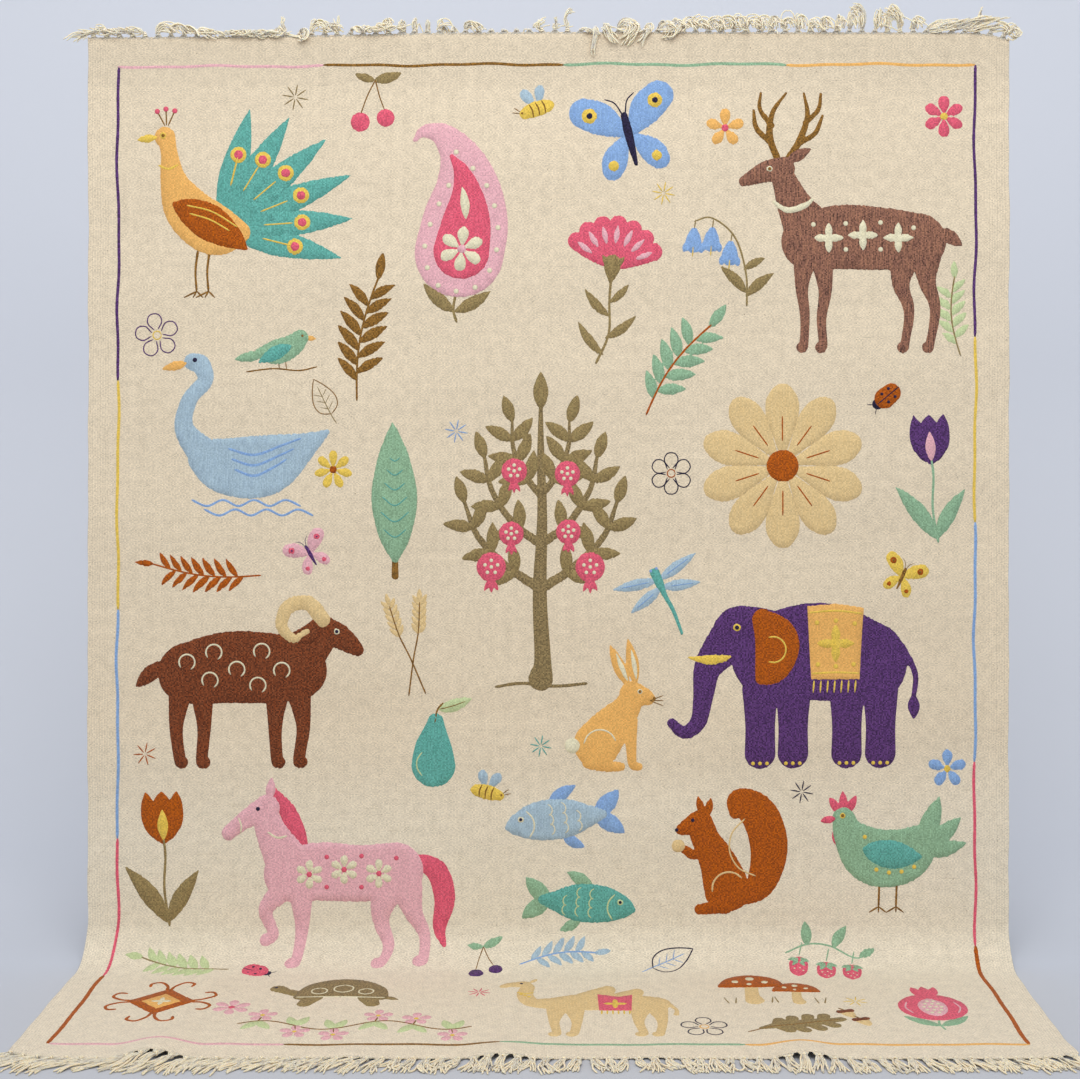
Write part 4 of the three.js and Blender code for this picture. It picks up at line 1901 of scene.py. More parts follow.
# A trotting horse that looks to the left, 460 wide and 380 high
HORSE: Drawing = [
    fill(
        Thread.ROSE, limb((-138, 176, 7), (-112, 136, 17), (-92, 92, 18), (-78, 62, 10)),
        limb((148, 34, 14), (196, 14, 22), (214, -44, 22), (204, -104, 14), (216, -140, 5)),
    ),
    fill(
        Thread.PINK, limb((-104, 4, 56), (-40, 10, 60), (40, 6, 58), (112, 12, 58)),
        limb((-106, 22, 48), (-140, 82, 34), (-160, 132, 26)),
        limb((-154, 142, 27), (-194, 120, 19), (-226, 96, 15), (-232, 90, 15)), leaf(-148, 160, 84, 44, 20),
        limb((-112, -20, 26), (-156, -68, 15), (-138, -118, 11), (-152, -130, 13)),
        limb((-84, -30, 26), (-80, -104, 14), (-84, -176, 11), (-92, -182, 14)),
        limb((96, -20, 36), (82, -86, 18), (102, -140, 12), (92, -178, 11), (84, -182, 14)),
        limb((132, -12, 36), (150, -76, 19), (174, -120, 12), (176, -170, 11), (168, -176, 14)),
    ),
    *(
        stitch
        for x, y in ((-66, 4), (6, 14), (78, 6))
        for stitch in (
            fill(Thread.CREAM, *(petal(px, py, turn, 20, 16) for px, py, turn in ringed(x, y, 5, 6))),
            knots(Thread.ROSE, 6, (x, y)),
        )
    ),
    knots(Thread.ROSE, 5, (-30, 40), (-30, -22), (42, 42), (42, -22), (114, 38)),
    line(Thread.CREAM, (-152, 92, 3), (-132, 80, 3.4), (-112, 84, 3)),
    line(Thread.CREAM, (-212, 122, 2.6), (-206, 104, 2.6), (-208, 90, 2.4)),
    knots(Thread.NAVY, 4.4, (-172, 140)),
]

# A sitting squirrel with a nut that looks to the left, 280 wide and 290 high
SQUIRREL: Drawing = [
    fill(
        Thread.RUST,
        limb((44, -112, 16), (96, -78, 32), (116, 0, 42), (96, 76, 42), (52, 108, 30), (40, 84, 14)),
    ),
    arc(Thread.TAN, 96, 10, 70, 120, 262, 2.4),
    fill(
        Thread.RUST, limb((22, -88, 52), (2, -30, 42), (-26, 24, 32), (-40, 60, 30)),
        limb((-44, 62, 26), (-74, 50, 16), (-82, 46, 12)), leaf(-34, 80, 104, 42, 18),
        leaf(-22, 78, 80, 40, 18), limb((-14, 6, 18), (-52, -10, 12), (-74, 2, 10)),
        limb((18, -128, 16), (-40, -134, 12)),
    ),
    arc(Thread.TAN, 26, -88, 38, 40, 190, 3), fill(Thread.TAN, disc(-88, 10, 15)),
    knots(Thread.NAVY, 4.2, (-56, 68), (-92, 46)),
]


def tortoise() -> Drawing:
    """A tortoise that walks to the left, 300 wide.

    Returns:
        The drawing.
    """
    drawn: Drawing = [
        fill(
            Thread.OLIVE, limb((-56, -30, 22), (-68, -66, 16)), limb((60, -30, 22), (74, -66, 16)),
            limb((-80, -14, 16), (-118, 4, 14), (-138, 20, 18)), leaf(84, -24, -24, 48, 18),
        ),
        fill(Thread.BRONZE, limb((-80, -26, 18), (-44, 14, 42), (6, 24, 52), (56, 8, 38), (86, -26, 18))),
        knots(Thread.NAVY, 4, (-144, 26)),
    ]
    for x, y, size in ((-48, 6, 17), (2, 20, 21), (52, 4, 16)):
        corners = [(px, py, 2.6) for px, py, _ in ringed(x, y, size, 6)]
        drawn.append(line(Thread.CREAM, *corners, *corners[:1]))
    return [*drawn, line(Thread.CREAM, (-92, -30, 2.8), (0, -26, 2.8), (96, -32, 2.8))]


def cherries(fruit: Thread, stalk: Thread, green: Thread) -> Drawing:
    """Two cherries on their stalks, 140 wide.

    Args:
        fruit: the fruit's wool.
        stalk: the stalk's wool.
        green: the leaves' wool.

    Returns:
        The drawing.
    """
    return [
        line(stalk, (10, 84, 3), (-14, 36, 2.6), (-32, -14, 2.6)),
        line(stalk, (10, 84, 3), (22, 36, 2.6), (36, -2, 2.6)),
        fill(green, leaf(10, 84, 6, 78, 34, 14), leaf(8, 84, 170, 60, 26, -10)),
        fill(fruit, disc(-34, -38, 28), disc(40, -26, 26)),
    ]


# A small bird on a twig that looks to the right, 240 wide
SMALL_BIRD: Drawing = [
    line(Thread.BROWN, (-104, -66, 3.4), (-20, -56, 3.4), (60, -62, 3.4), (116, -50, 3.4)),
    *(line(Thread.BROWN, (x, -34, 2.4), (x + 3, -58, 2.4)) for x in (-4, 18)),
    fill(Thread.ORANGE, leaf(80, 40, -6, 34, 15)),
    fill(
        Thread.MINT, limb((-60, -8, 18), (-8, -4, 38), (38, 16, 34), (64, 40, 25)),
        leaf(-44, -10, 190, 100, 32),
    ),
    fill(Thread.TEAL, leaf(34, 14, 202, 112, 44, 10)), knots(Thread.BROWN, 4, (70, 46)),
]

# A dragonfly from above, 250 wide
DRAGONFLY: Drawing = [
    *(
        stitch
        for turn, y, long in ((12, 34, 122), (168, 34, 122), (-16, 14, 104), (196, 14, 104))
        for stitch in (
            fill(Thread.LIGHT_BLUE, leaf(0, y, turn, long, 30)),
            line(Thread.CORNFLOWER, (*ahead(0, y, turn, 26), 1.8), (*ahead(0, y, turn, long * 0.8), 1.8)),
        )
    ),
    fill(Thread.TEAL, limb((0, 56, 13), (0, 28, 12), (0, -6, 7), (4, -60, 5), (0, -116, 4))),
    knots(Thread.CORNFLOWER, 4, (-8, 64), (8, 64)),
]

# A slender tree, 400 high
CYPRESS: Drawing = [
    fill(Thread.BROWN, limb((0, -206, 10), (0, -120, 7))), fill(Thread.MINT, leaf(0, -160, 90, 370, 124, 6)),
    *(
        line(Thread.TEAL, (-x, y + x * 0.7, 2.6), (0, y, 2.6), (x, y + x * 0.7, 2.6))
        for y, x in ((-100, 30), (-58, 38), (-14, 34), (28, 28), (68, 22), (106, 14))
    ),
]

# Bellflowers on an arching stalk, 310 high
BELLFLOWERS: Drawing = [
    line(Thread.OLIVE, (-64, -156, 4.4), (-54, -60, 4), (-14, 42, 4), (56, 92, 3.6), (106, 78, 3)),
    fill(
        Thread.OLIVE, leaf(-60, -126, 128, 104, 32, 16), leaf(-58, -116, 50, 104, 32, -16),
        leaf(-48, -50, 140, 70, 24, 10),
    ),
    *(
        stitch
        for x, y in ((-4, 30), (52, 66), (104, 60))
        for stitch in (
            line(Thread.OLIVE, (x - 2, y + 24, 2.6), (x, y - 4, 2.6)),
            line(Thread.YELLOW, (x, y - 56, 2.4), (x, y - 84, 3)),
            fill(
                Thread.CORNFLOWER, limb((x, y - 10, 10), (x, y - 30, 20), (x, y - 48, 25)),
                *(leaf(x + dx, y - 44, -90 + dx, 30, 20) for dx in (-17, 0, 17)),
            ),
        )
    ),
]


@dataclass(frozen=True)
class Motif:
    """A drawing on the cloth: its name, its middle across and down, in metres, and how it is set."""

    name: str
    drawing: Drawing
    x: float
    s: float
    size: float = 1.0
    turn: float = 0.0
    mirrored: bool = False

    def placed(self, stations: Iterable[Sequence[float]]) -> Array:
        """Stations on the cloth, in millimetres, with y up from the top edge.

        Args:
            stations: rows of x and y, with or without a half width, on the drawing.

        Returns:
            The rows on the cloth.
        """
        rows = np.array(list(stations), float).copy()
        rows *= self.size
        if self.mirrored:
            rows[:, 0] *= -1
        c, n = math.cos(math.radians(self.turn)), math.sin(math.radians(self.turn))
        x, y = rows[:, 0].copy(), rows[:, 1].copy()
        rows[:, 0] = x * c - y * n + self.x / MM
        rows[:, 1] = x * n + y * c - self.s / MM
        return rows


class Field:
    """Distances to the edge of a set of shapes on a fine grid, negative inside, in millimetres."""

    cell = 2.5
    margin = 9.0
    far = 9.0
    row = 4.6
    tooth = 2.1

    def __init__(self, shapes: Sequence[Array], plates: Sequence[Array]) -> None:
        """Works the distances out.

        Args:
            shapes: the stations of each limb on the cloth, already fine.
            plates: the corners of each straight-sided area on the cloth.
        """
        low = np.min([s[:, :2].min(0) - s[:, 2].max() for s in shapes] + [p.min(0) for p in plates], 0)
        high = np.max([s[:, :2].max(0) + s[:, 2].max() for s in shapes] + [p.max(0) for p in plates], 0)
        self.xs = np.arange(low[0] - self.margin, high[0] + self.margin, self.cell)
        self.ys = np.arange(low[1] - self.margin, high[1] + self.margin, self.cell)
        self.values = np.full((len(self.xs), len(self.ys)), self.far)
        for stations in shapes:
            reach = stations[:, 2].max() + self.margin
            self.press(stations[:, :2], reach, lambda x, y, way=stations: self.to_limb(x, y, way))
        for corners in plates:
            self.press(corners, self.margin, lambda x, y, way=corners: self.to_plate(x, y, way))
        x, y = np.meshgrid(self.xs, self.ys, indexing="ij")
        row = np.floor(x / self.row)
        half_rows = np.floor(y / self.row / 2)
        steps = spread(row, 3.0) + 0.6 * spread(row * 7 + half_rows, 5.0) - 0.8
        level = np.abs(np.gradient(self.values, self.cell, axis=1))
        self.values += self.tooth * steps * (0.25 + 0.75 * level)

    def press(self, places: Array, reach: float, rule: Callable[[Array, Array], Array]) -> None:
        """Lowers the part of the grid near some places to a rule's distances.

        Args:
            places: the places.
            reach: how far from them the rule is worked out.
            rule: the distances for places across and up.
        """
        low, high = places.min(0) - reach, places.max(0) + reach
        i = slice(*np.searchsorted(self.xs, (low[0], high[0])))
        j = slice(*np.searchsorted(self.ys, (low[1], high[1])))
        x, y = np.meshgrid(self.xs[i], self.ys[j], indexing="ij")
        self.values[i, j] = np.minimum(self.values[i, j], rule(x, y))

    @staticmethod
    def to_limb(x: Array, y: Array, way: Array) -> Array:
        """Distances to the edge of a limb.

        Args:
            x: places across, in millimetres.
            y: places up, in millimetres.
            way: the limb's stations.

        Returns:
            The distances, negative inside.
        """
        if len(way) == 1:
            return np.hypot(x - way[0, 0], y - way[0, 1]) - way[0, 2]
        nearest = np.full(x.shape, np.inf)
        for a, b in zip(way, way[1:]):
            step = b[:2] - a[:2]
            long = max(float(step @ step), 1e-9)
            t = np.clip(((x - a[0]) * step[0] + (y - a[1]) * step[1]) / long, 0, 1)
            gap = np.hypot(x - a[0] - t * step[0], y - a[1] - t * step[1])
            nearest = np.minimum(nearest, gap - (a[2] + t * (b[2] - a[2])))
        return nearest

    @staticmethod
    def to_plate(x: Array, y: Array, corners: Array) -> Array:
        """Distances to the edge of a straight-sided area.

        Args:
            x: places across, in millimetres.
            y: places up, in millimetres.
            corners: its corners.

        Returns:
            The distances, negative inside.
        """
        gap = np.full(x.shape, np.inf)
        inside = np.zeros(x.shape, bool)
        for a, b in zip(corners, np.roll(corners, -1, axis=0)):
            step = b - a
            t = np.clip(((x - a[0]) * step[0] + (y - a[1]) * step[1]) / float(step @ step), 0, 1)
            gap = np.minimum(gap, np.hypot(x - a[0] - t * step[0], y - a[1] - t * step[1]))
            rises = (a[1] > y) != (b[1] > y)
            slope = step[0] / step[1] if step[1] else 0.0
            inside ^= rises & (x < a[0] + (y - a[1]) * slope)
        return np.where(inside, -gap, gap)

    def at(self, places: Array) -> Array:
        """Distances at places, straight between the grid's own.

        Args:
            places: rows of places across and up.

        Returns:
            The distances.
        """
        u = np.clip((places[:, 0] - self.xs[0]) / self.cell, 0, len(self.xs) - 1.001)
        v = np.clip((places[:, 1] - self.ys[0]) / self.cell, 0, len(self.ys) - 1.001)
        i, j = u.astype(int), v.astype(int)
        fu, fv = u - i, v - j
        d = self.values
        near = d[i, j] * (1 - fu) + d[i + 1, j] * fu
        return near * (1 - fv) + (d[i, j + 1] * (1 - fu) + d[i + 1, j + 1] * fu) * fv

    def outline(self, level: float) -> tuple[Array, Array]:
        """The line where the distance has a value.

        Args:
            level: the value.

        Returns:
            The line's points and the pairs of them that are joined.
        """
        d = self.values - level
        below = d < 0
        on_x, on_y = below[1:, :] != below[:-1, :], below[:, 1:] != below[:, :-1]
        i, j = np.nonzero(on_x)
        t = d[i, j] / (d[i, j] - d[i + 1, j])
        first = np.stack([self.xs[i] + t * self.cell, self.ys[j]], axis=-1)
        i, j = np.nonzero(on_y)
        t = d[i, j] / (d[i, j] - d[i, j + 1])
        second = np.stack([self.xs[i], self.ys[j] + t * self.cell], axis=-1)
        id_x, id_y = np.full(on_x.shape, -1), np.full(on_y.shape, -1)
        id_x[on_x] = np.arange(len(first))
        id_y[on_y] = np.arange(len(second)) + len(first)
        sides = np.stack([id_x[:, :-1], id_x[:, 1:], id_y[:-1, :], id_y[1:, :]], axis=-1)
        crossed = (sides >= 0).sum(-1)
        pairs = np.sort(sides[crossed == 2], axis=-1)[:, 2:]
        saddles = sides[crossed == 4]
        pairs = np.concatenate([pairs, saddles[:, [0, 2]], saddles[:, [1, 3]]])
        return np.concatenate([first, second]), pairs


class Needlework:
    """Works drawings into meshes that lie on the cloth and go through to its back."""

    outer = 0.8
    inner = -0.5
    lattice = 22.0
    puff_depth = 9.0
    rise = 0.00035
    layer_rise = 0.0003
    back = 0.0001
    line_sides = 6
    line_swell = 1.12
    knot_flatness = 0.22

    def __init__(self, form: KilimForm, cloth_thick: float) -> None:
        """Keeps the form and the cloth's face, and models the knot that all dots are copies of.

        Args:
            form: the cloth's form.
            cloth_thick: the cloth's thickness.
        """
        self.form = form
        self.face = cloth_thick / 2
        self.knot_points, self.knot_faces = self.model_knot()

    @classmethod
    def model_knot(cls) -> tuple[Array, list[tuple[int, ...]]]:
        """Models a small round knot of wool and gives its points and faces.

        Returns:
            Its points and faces.
        """
        bpy.ops.object.select_all(action="DESELECT")
        bpy.ops.mesh.primitive_uv_sphere_add(segments=10, ring_count=6, radius=1.0)
        bpy.ops.object.mode_set(mode="EDIT")
        bpy.ops.transform.resize(value=(1.0, 1.0, cls.knot_flatness))
        bpy.ops.object.mode_set(mode="OBJECT")
        return ordered(*take(bpy.context.object))

    def on_cloth(self, places: Array, height: Array | float) -> Array:
        """Points over places of the cloth that are given in millimetres, with y up."""
        return self.form.point(places[:, 0] * MM, -places[:, 1] * MM, height)

    @staticmethod
    def area(motif: Motif, fill: Fill) -> Field:
        """The distances to the edge of a filled area, where its motif is on the cloth.

        Args:
            motif: the motif.
            fill: the area in its drawing.

        Returns:
            The distances.
        """
        limbs = [
            smooth_way(motif.placed(shape.stations), 5)
            if len(shape.stations) > 1
            else motif.placed(shape.stations)
            for shape in fill.shapes
            if isinstance(shape, Limb)
        ]
        plates = [motif.placed(shape.corners) for shape in fill.shapes if isinstance(shape, Plate)]
        return Field(limbs, plates)

    @staticmethod
    def layer(
        below: Sequence[tuple[Field, Array, int, Thread]],
        places: Array,
        thread: Thread,
        area: Field | None = None,
    ) -> int:
        """How many areas a stitch lies on.

        Args:
            below: each earlier area with its outline, its own layer and its wool.
            places: places on the stitch.
            thread: the stitch's wool, which may share the layer of an area in the same wool.
            area: the stitch's own distances, where it is an area.

        Returns:
            The stitch's layer, from 0 on the bare cloth.
        """
        under = [
            number + (0 if area is not None and wool is thread else 1)
            for other, outline, number, wool in below
            if (other.at(places) < 0).any() or (area is not None and (area.at(outline) < 0).any())
        ]
        return max(under, default=0)

    def fill(self, parts: MeshParts, area: Field, layer: int, finish: int) -> None:
        """Adds a filled area, flat and closed through the cloth.

        Args:
            parts: the mesh that it is added to.
            area: the distances to its edge.
            layer: how many areas lie under it.
            finish: the number of its wool among the motif's own.
        """
        rim_points, rim_pairs = area.outline(self.outer)
        ring_points, ring_pairs = area.outline(self.inner)
        x, y = np.meshgrid(
            np.arange(area.xs[0], area.xs[-1], self.lattice),
            np.arange(area.ys[0], area.ys[-1], self.lattice),
        )
        inside = np.stack([x.ravel(), y.ravel()], axis=-1)
        inside = inside[area.at(inside) < -self.puff_depth]
        middle = rim_points.mean(0)
        places = np.concatenate([rim_points, ring_points, inside]) - middle
        pairs = np.concatenate([rim_pairs, ring_pairs + len(rim_points)])
        flat, _, triangles, origins, _, _ = delaunay_2d_cdt(
            [Vector(p) for p in places], pairs.tolist(), [], 0, 1e-4
        )
        flat = np.array([tuple(v) for v in flat]) + middle
        triangles = np.array(triangles)
        centre = flat[triangles].mean(1)
        triangles = triangles[area.at(centre) < self.outer]
        on_rim = np.array([any(k < len(rim_points) for k in origin) for origin in origins])
        self.cushion(parts, flat, triangles, on_rim, layer, finish)

    def cushion(
        self,
        parts: MeshParts,
        flat: Array,
        triangles: Array,
        on_rim: Array,
        layer: int,
        finish: int,
    ) -> None:
        """Adds the front and back of an area that meet in its rim, in the middle of the cloth.

        Args:
            parts: the mesh that it is added to.
            flat: the points, flat on the cloth.
            triangles: its triangles.
            on_rim: which points are on its rim.
            layer: how many areas lie under it.
            finish: the number of its wool among the motif's own.
        """
        top = self.face + self.rise + layer * self.layer_rise
        bottom = -self.face - self.back - layer * self.layer_rise * 0.2
        used = np.zeros(len(flat), bool)
        used[triangles.ravel()] = True
        order = np.cumsum(used) - 1
        free = used & ~on_rim
        under = np.where(free, used.sum() + np.cumsum(free) - 1, order)
        front = order[triangles]
        back = under[triangles][:, ::-1]
        heights = np.where(on_rim, 0.0, top)
        points = np.concatenate(
            [self.on_cloth(flat[used], heights[used]), self.on_cloth(flat[free], bottom)]
        )
        uv = flat * MM
        level = ~on_rim[triangles].any(axis=1)
        parts.add(
            points,
            np.concatenate([front, back]),
            np.concatenate([uv[used], uv[free]]),
            finish,
            np.concatenate([level, level]),
        )

    def line(self, parts: MeshParts, stations: Array, layer: int, finish: int, step: float = 7.0) -> None:
        """Adds a stitched line, a flat cord that goes through the cloth.

        Args:
            parts: the mesh that it is added to.
            stations: its fine way on the cloth, with half widths.
            layer: how many areas lie under it.
            finish: the number of its wool among the motif's own.
            step: the length between two of its sections.
        """
        gaps = np.hypot(*np.diff(stations[:, :2], axis=0).T)
        run = np.concatenate([[0], np.cumsum(gaps)])
        count = max(2, int(run[-1] / step) + 1)
        at = np.linspace(0, run[-1], count)
        way = np.stack([np.interp(at, run, stations[:, k]) for k in range(3)], axis=-1)
        way[:, 2] *= self.line_swell + 0.1 * np.sin(at / 5.3) * np.sin(at / 17.0)
        way[[0, -1], 2] *= 0.5
        heading = np.gradient(way[:, :2], axis=0)
        heading /= np.maximum(np.linalg.norm(heading, axis=1, keepdims=True), 1e-9)
        aside = np.stack([heading[:, 1], -heading[:, 0]], axis=-1)
        ring = self.line_sides
        sides = np.array([(math.cos(a), math.sin(a)) for a in np.arange(ring) * 2 * math.pi / ring])
        top = self.face + self.rise * 1.2 + layer * self.layer_rise
        bottom = -self.face - self.back
        places = way[:, None, :2] + aside[:, None, :] * (way[:, 2, None] * sides[:, 0])[..., None]
        heights = (top + bottom) / 2 + (top - bottom) / 2 * sides[:, 1] / sides[1, 1]
        points = self.on_cloth(places.reshape(-1, 2), np.tile(heights, count))
        faces: list[tuple[int, ...]] = []
        for k in range(count - 1):
            for i in range(ring):
                j = (i + 1) % ring
                faces.append((k * ring + i, k * ring + j, k * ring + ring + j, k * ring + ring + i))
        faces += [tuple(range(ring - 1, -1, -1)), tuple(range((count - 1) * ring, count * ring))]
        uv = np.stack(
            [
                (way[:, 2, None] * sides[:, 0]).ravel() * MM,
                np.repeat(at, ring) * MM + stations[0, 0] * MM,
            ],
            axis=-1,
        )
        parts.add(points, faces, uv, finish)

    def dots(self, parts: MeshParts, motif: Motif, dots: Dots, layer: int, finish: int) -> None:
        """Adds small knots on the face.

        Args:
            parts: the mesh that it is added to.
            motif: the motif.
            dots: the knots in its drawing.
            layer: how many areas lie under it.
            finish: the number of its wool among the motif's own.
        """
        radius = dots.radius * motif.size
        height = self.face + self.rise * 0.6 + layer * self.layer_rise
        for spot in motif.placed(dots.spots):
            places = spot[:2] + self.knot_points[:, :2] * radius
            heights = height + self.knot_points[:, 2] * radius * MM * 0.8
            uv = (places - spot[:2]) * MM
            parts.add(self.on_cloth(places, heights), self.knot_faces, uv, finish)

    def work(self, name: str, motifs: Sequence[Motif]) -> bpy.types.Object:
        """Works motifs of one kind as a piece, each of their stitches on top of those before it.

        Args:
            name: the piece's own part of its name.
            motifs: the motifs.

        Returns:
            The piece.
        """
        parts = MeshParts()
        threads = list(dict.fromkeys(stitch.thread for motif in motifs for stitch in motif.drawing))
        for motif in motifs:
            below: list[tuple[Field, Array, int, Thread]] = []
            for stitch in motif.drawing:
                finish = threads.index(stitch.thread)
                if isinstance(stitch, Fill):
                    area = self.area(motif, stitch)
                    places = area.outline(0.0)[0]
                    layer = self.layer(below, places, stitch.thread, area)
                    self.fill(parts, area, layer, finish)
                    below.append((area, places, layer, stitch.thread))
                elif isinstance(stitch, Line):
                    way = smooth_way(motif.placed(stitch.stations), 6)
                    self.line(parts, way, self.layer(below, way[:, :2], stitch.thread), finish)
                else:
                    spots = motif.placed(stitch.spots)
                    layer = self.layer(below, spots[:, :2], stitch.thread)
                    self.dots(parts, motif, stitch, layer, finish)
        materials = [WOOLS[thread] for thread in threads]
        return settle(parts.piece("embroidery_" + name, materials, STITCH_MAP))


WOOLS = {thread: ThreadFinish(thread).material() for thread in Thread}


def figures() -> list[Motif]:
    """The large motifs of the embroidery and their places on the cloth.

    Returns:
        The motifs.
    """
    t = Thread
    return [
        Motif("peacock", peacock(), -0.90, 0.47, 1.18),
        Motif("boteh", boteh(), -0.22, 0.46, 1.26, -6),
        Motif("stag", STAG, 0.82, 0.55, 1.17),
        Motif("swan", swan(), -0.78, 1.11, 1.36),
        Motif("fruit_tree", fruit_tree(), -0.02, 1.29, 1.24),
        Motif("rosette_tan", rosette(t.TAN, t.RUST, 10, 190, 0.46), 0.61, 1.13, 1.0),
        Motif("ram", RAM, -0.79, 1.67, 1.3),
        Motif("elephant", ELEPHANT, 0.67, 1.66, 1.3, 0, True),
        Motif("horse", HORSE, -0.54, 2.20, 1.26),
        Motif("squirrel", SQUIRREL, 0.44, 2.13, 1.16),
        Motif("hen", HEN, 0.88, 2.14, 1.26),
        Motif("hare", HARE, 0.17, 1.80, 0.98),
        Motif("tortoise", tortoise(), -0.50, 2.60, 1.16),
        Motif("camel", CAMEL, 0.15, 2.70, 1.03),
    ]


def plants() -> list[Motif]:
    """The middling motifs, mostly plants, and their places on the cloth.

    Returns:
        The motifs.
    """
    t = Thread
    return [
        Motif("carnation", carnation(), 0.16, 0.67, 1.16, -6),
        Motif("tulips", tulip(t.PURPLE, t.PINK, t.MINT), 1.00, 1.16, 1.14, 4),
        Motif("tulips", tulip(t.RUST, t.YELLOW, t.OLIVE), -1.00, 2.15, 1.2, 3),
        Motif("fish", fish(t.LIGHT_BLUE, t.CORNFLOWER, t.CREAM, t.NAVY), 0.04, 2.05, 1.05, 8),
        Motif("fish", fish(t.TEAL, t.MINT, t.PALE_GREEN, t.NAVY), 0.08, 2.27, 1.0, -6, True),
        Motif("pear", PEAR, -0.30, 1.86, 1.0),
        Motif("wheat", wheat(), -0.36, 1.60, 0.86, 8),
        Motif("cypress", CYPRESS, -0.40, 1.22, 0.96),
        Motif("bellflowers", BELLFLOWERS, 0.47, 0.57, 0.9, -4, True),
        Motif("lozenge", HOOKED_LOZENGE, -0.93, 2.66, 1.16),
        Motif("vine", vine(), -0.44, 2.81, 1.0),
        Motif("oak", oak(), 0.62, 2.80, 1.0, 16),
        Motif("mushrooms", MUSHROOMS, 0.56, 2.57, 1.0),
        Motif("pomegranate", POMEGRANATE, 0.94, 2.68, 1.06),
        Motif("berries", berries(), 0.72, 2.43, 0.86, -6),
        Motif("sprigs", sprig(t.BROWN, t.BROWN, 6, 320, 84, 28), -0.47, 0.80, 1.02, -10),
        Motif("sprigs", sprig(t.MINT, t.RUST, 5, 280, 80, 32), 0.34, 0.88, 1.04, -36),
        Motif("sprigs", sprig(t.RUST, t.RUST, 7, 340, 72, 22), -0.89, 1.40, 0.84, 84),
        Motif("sprigs", sprig(t.PALE_GREEN, t.OLIVE, 6, 300, 70, 30), -0.93, 2.43, 0.8, 80),
        Motif("sprigs", sprig(t.PALE_GREEN, t.OLIVE, 5, 260, 66, 28), 1.065, 0.74, 0.8, 4),
        Motif("sprigs", sprig(t.LIGHT_BLUE, t.CORNFLOWER, 5, 240, 60, 24), 0.03, 2.415, 0.84, -80),
    ]


def fillers() -> list[Motif]:
    """The small motifs between the others and their places on the cloth.

    Returns:
        The motifs.
    """
    t = Thread
    return [
        Motif("butterflies", butterfly(t.CORNFLOWER, t.YELLOW, t.NAVY), 0.21, 0.27, 1.16, 14),
        Motif("butterflies", butterfly(t.YELLOW, t.RUST, t.BROWN), 0.92, 1.42, 0.5, -24),
        Motif("butterflies", butterfly(t.PINK, t.ROSE, t.PURPLE), -0.62, 1.36, 0.5, 30),
        Motif("dragonfly", DRAGONFLY, 0.30, 1.46, 1.0, 24),
        Motif("small_bird", SMALL_BIRD, -0.70, 0.83, 0.84),
        Motif("cherries", cherries(t.ROSE, t.BROWN, t.OLIVE), -0.46, 0.20, 0.9),
        Motif("cherries", cherries(t.PURPLE, t.BROWN, t.MINT), -0.16, 2.44, 0.7, 12),
        Motif("bees", bee(t.YELLOW, t.BROWN, t.LIGHT_BLUE), -0.03, 0.20, 0.84, 20),
        Motif("bees", bee(t.YELLOW, t.BROWN, t.LIGHT_BLUE), -0.16, 1.98, 0.8, -14, True),
        Motif("bees", ladybird(t.RUST, t.NAVY), 0.88, 0.95, 0.84, 40),
        Motif("bees", ladybird(t.ROSE, t.NAVY), -0.74, 2.46, 0.8, 160),
        Motif("small_flowers", rosette(t.ROSE, t.YELLOW, 6, 46, 0.62), 1.03, 0.22, 1.0),
        Motif("small_flowers", rosette(t.YELLOW, t.RUST, 7, 44, 0.5), -0.56, 1.14, 1.0),
        Motif("small_flowers", rosette(t.ORANGE, t.ROSE, 5, 42, 0.66), 0.46, 0.25, 1.0),
        Motif("small_flowers", rosette(t.CORNFLOWER, t.YELLOW, 5, 42, 0.66), 1.04, 1.92, 1.0),
        Motif("small_flowers", rosette(t.PINK, t.ROSE, 6, 44, 0.6), -0.75, 2.70, 0.9),
        Motif("outlined_flowers", outlined_flower(t.NAVY, t.RUST, 6, 66), 0.32, 1.15, 0.8),
        Motif("outlined_flowers", outlined_flower(t.PURPLE, t.YELLOW, 5, 66), -1.02, 0.79, 0.84, 10),
        Motif("outlined_flowers", outlined_flower(t.NAVY, t.ORANGE, 5, 60), 0.38, 2.82, 0.9),
        Motif("outlined_flowers", outlined_leaf(t.BROWN, t.OLIVE, 170), -0.585, 0.955, 0.6, 28),
        Motif("outlined_flowers", outlined_leaf(t.NAVY, t.CORNFLOWER, 150), 0.32, 2.42, 0.8, -60),
        Motif("sprays", spray(t.OLIVE, 8, 34), -0.66, 0.17, 1.0),
        Motif("sprays", spray(t.CORNFLOWER, 8, 30), -0.24, 1.04, 1.0),
        Motif("sprays", spray(t.YELLOW, 8, 30), 0.30, 0.42, 1.0),
        Motif("sprays", spray(t.RUST, 7, 30), -1.05, 1.88, 1.0),
        Motif("sprays", spray(t.NAVY, 8, 30), 0.66, 1.98, 1.0),
        Motif("sprays", spray(t.TEAL, 8, 28), -0.02, 1.86, 1.0),
        Motif("sprays", spray(t.YELLOW, 7, 30), 0.76, 2.66, 1.0),
        Motif("sprays", spray(t.ROSE, 8, 28), -0.16, 2.60, 1.0),
    ]


Side = tuple[tuple[float, float], tuple[float, float], tuple[tuple[Thread, float], ...]]


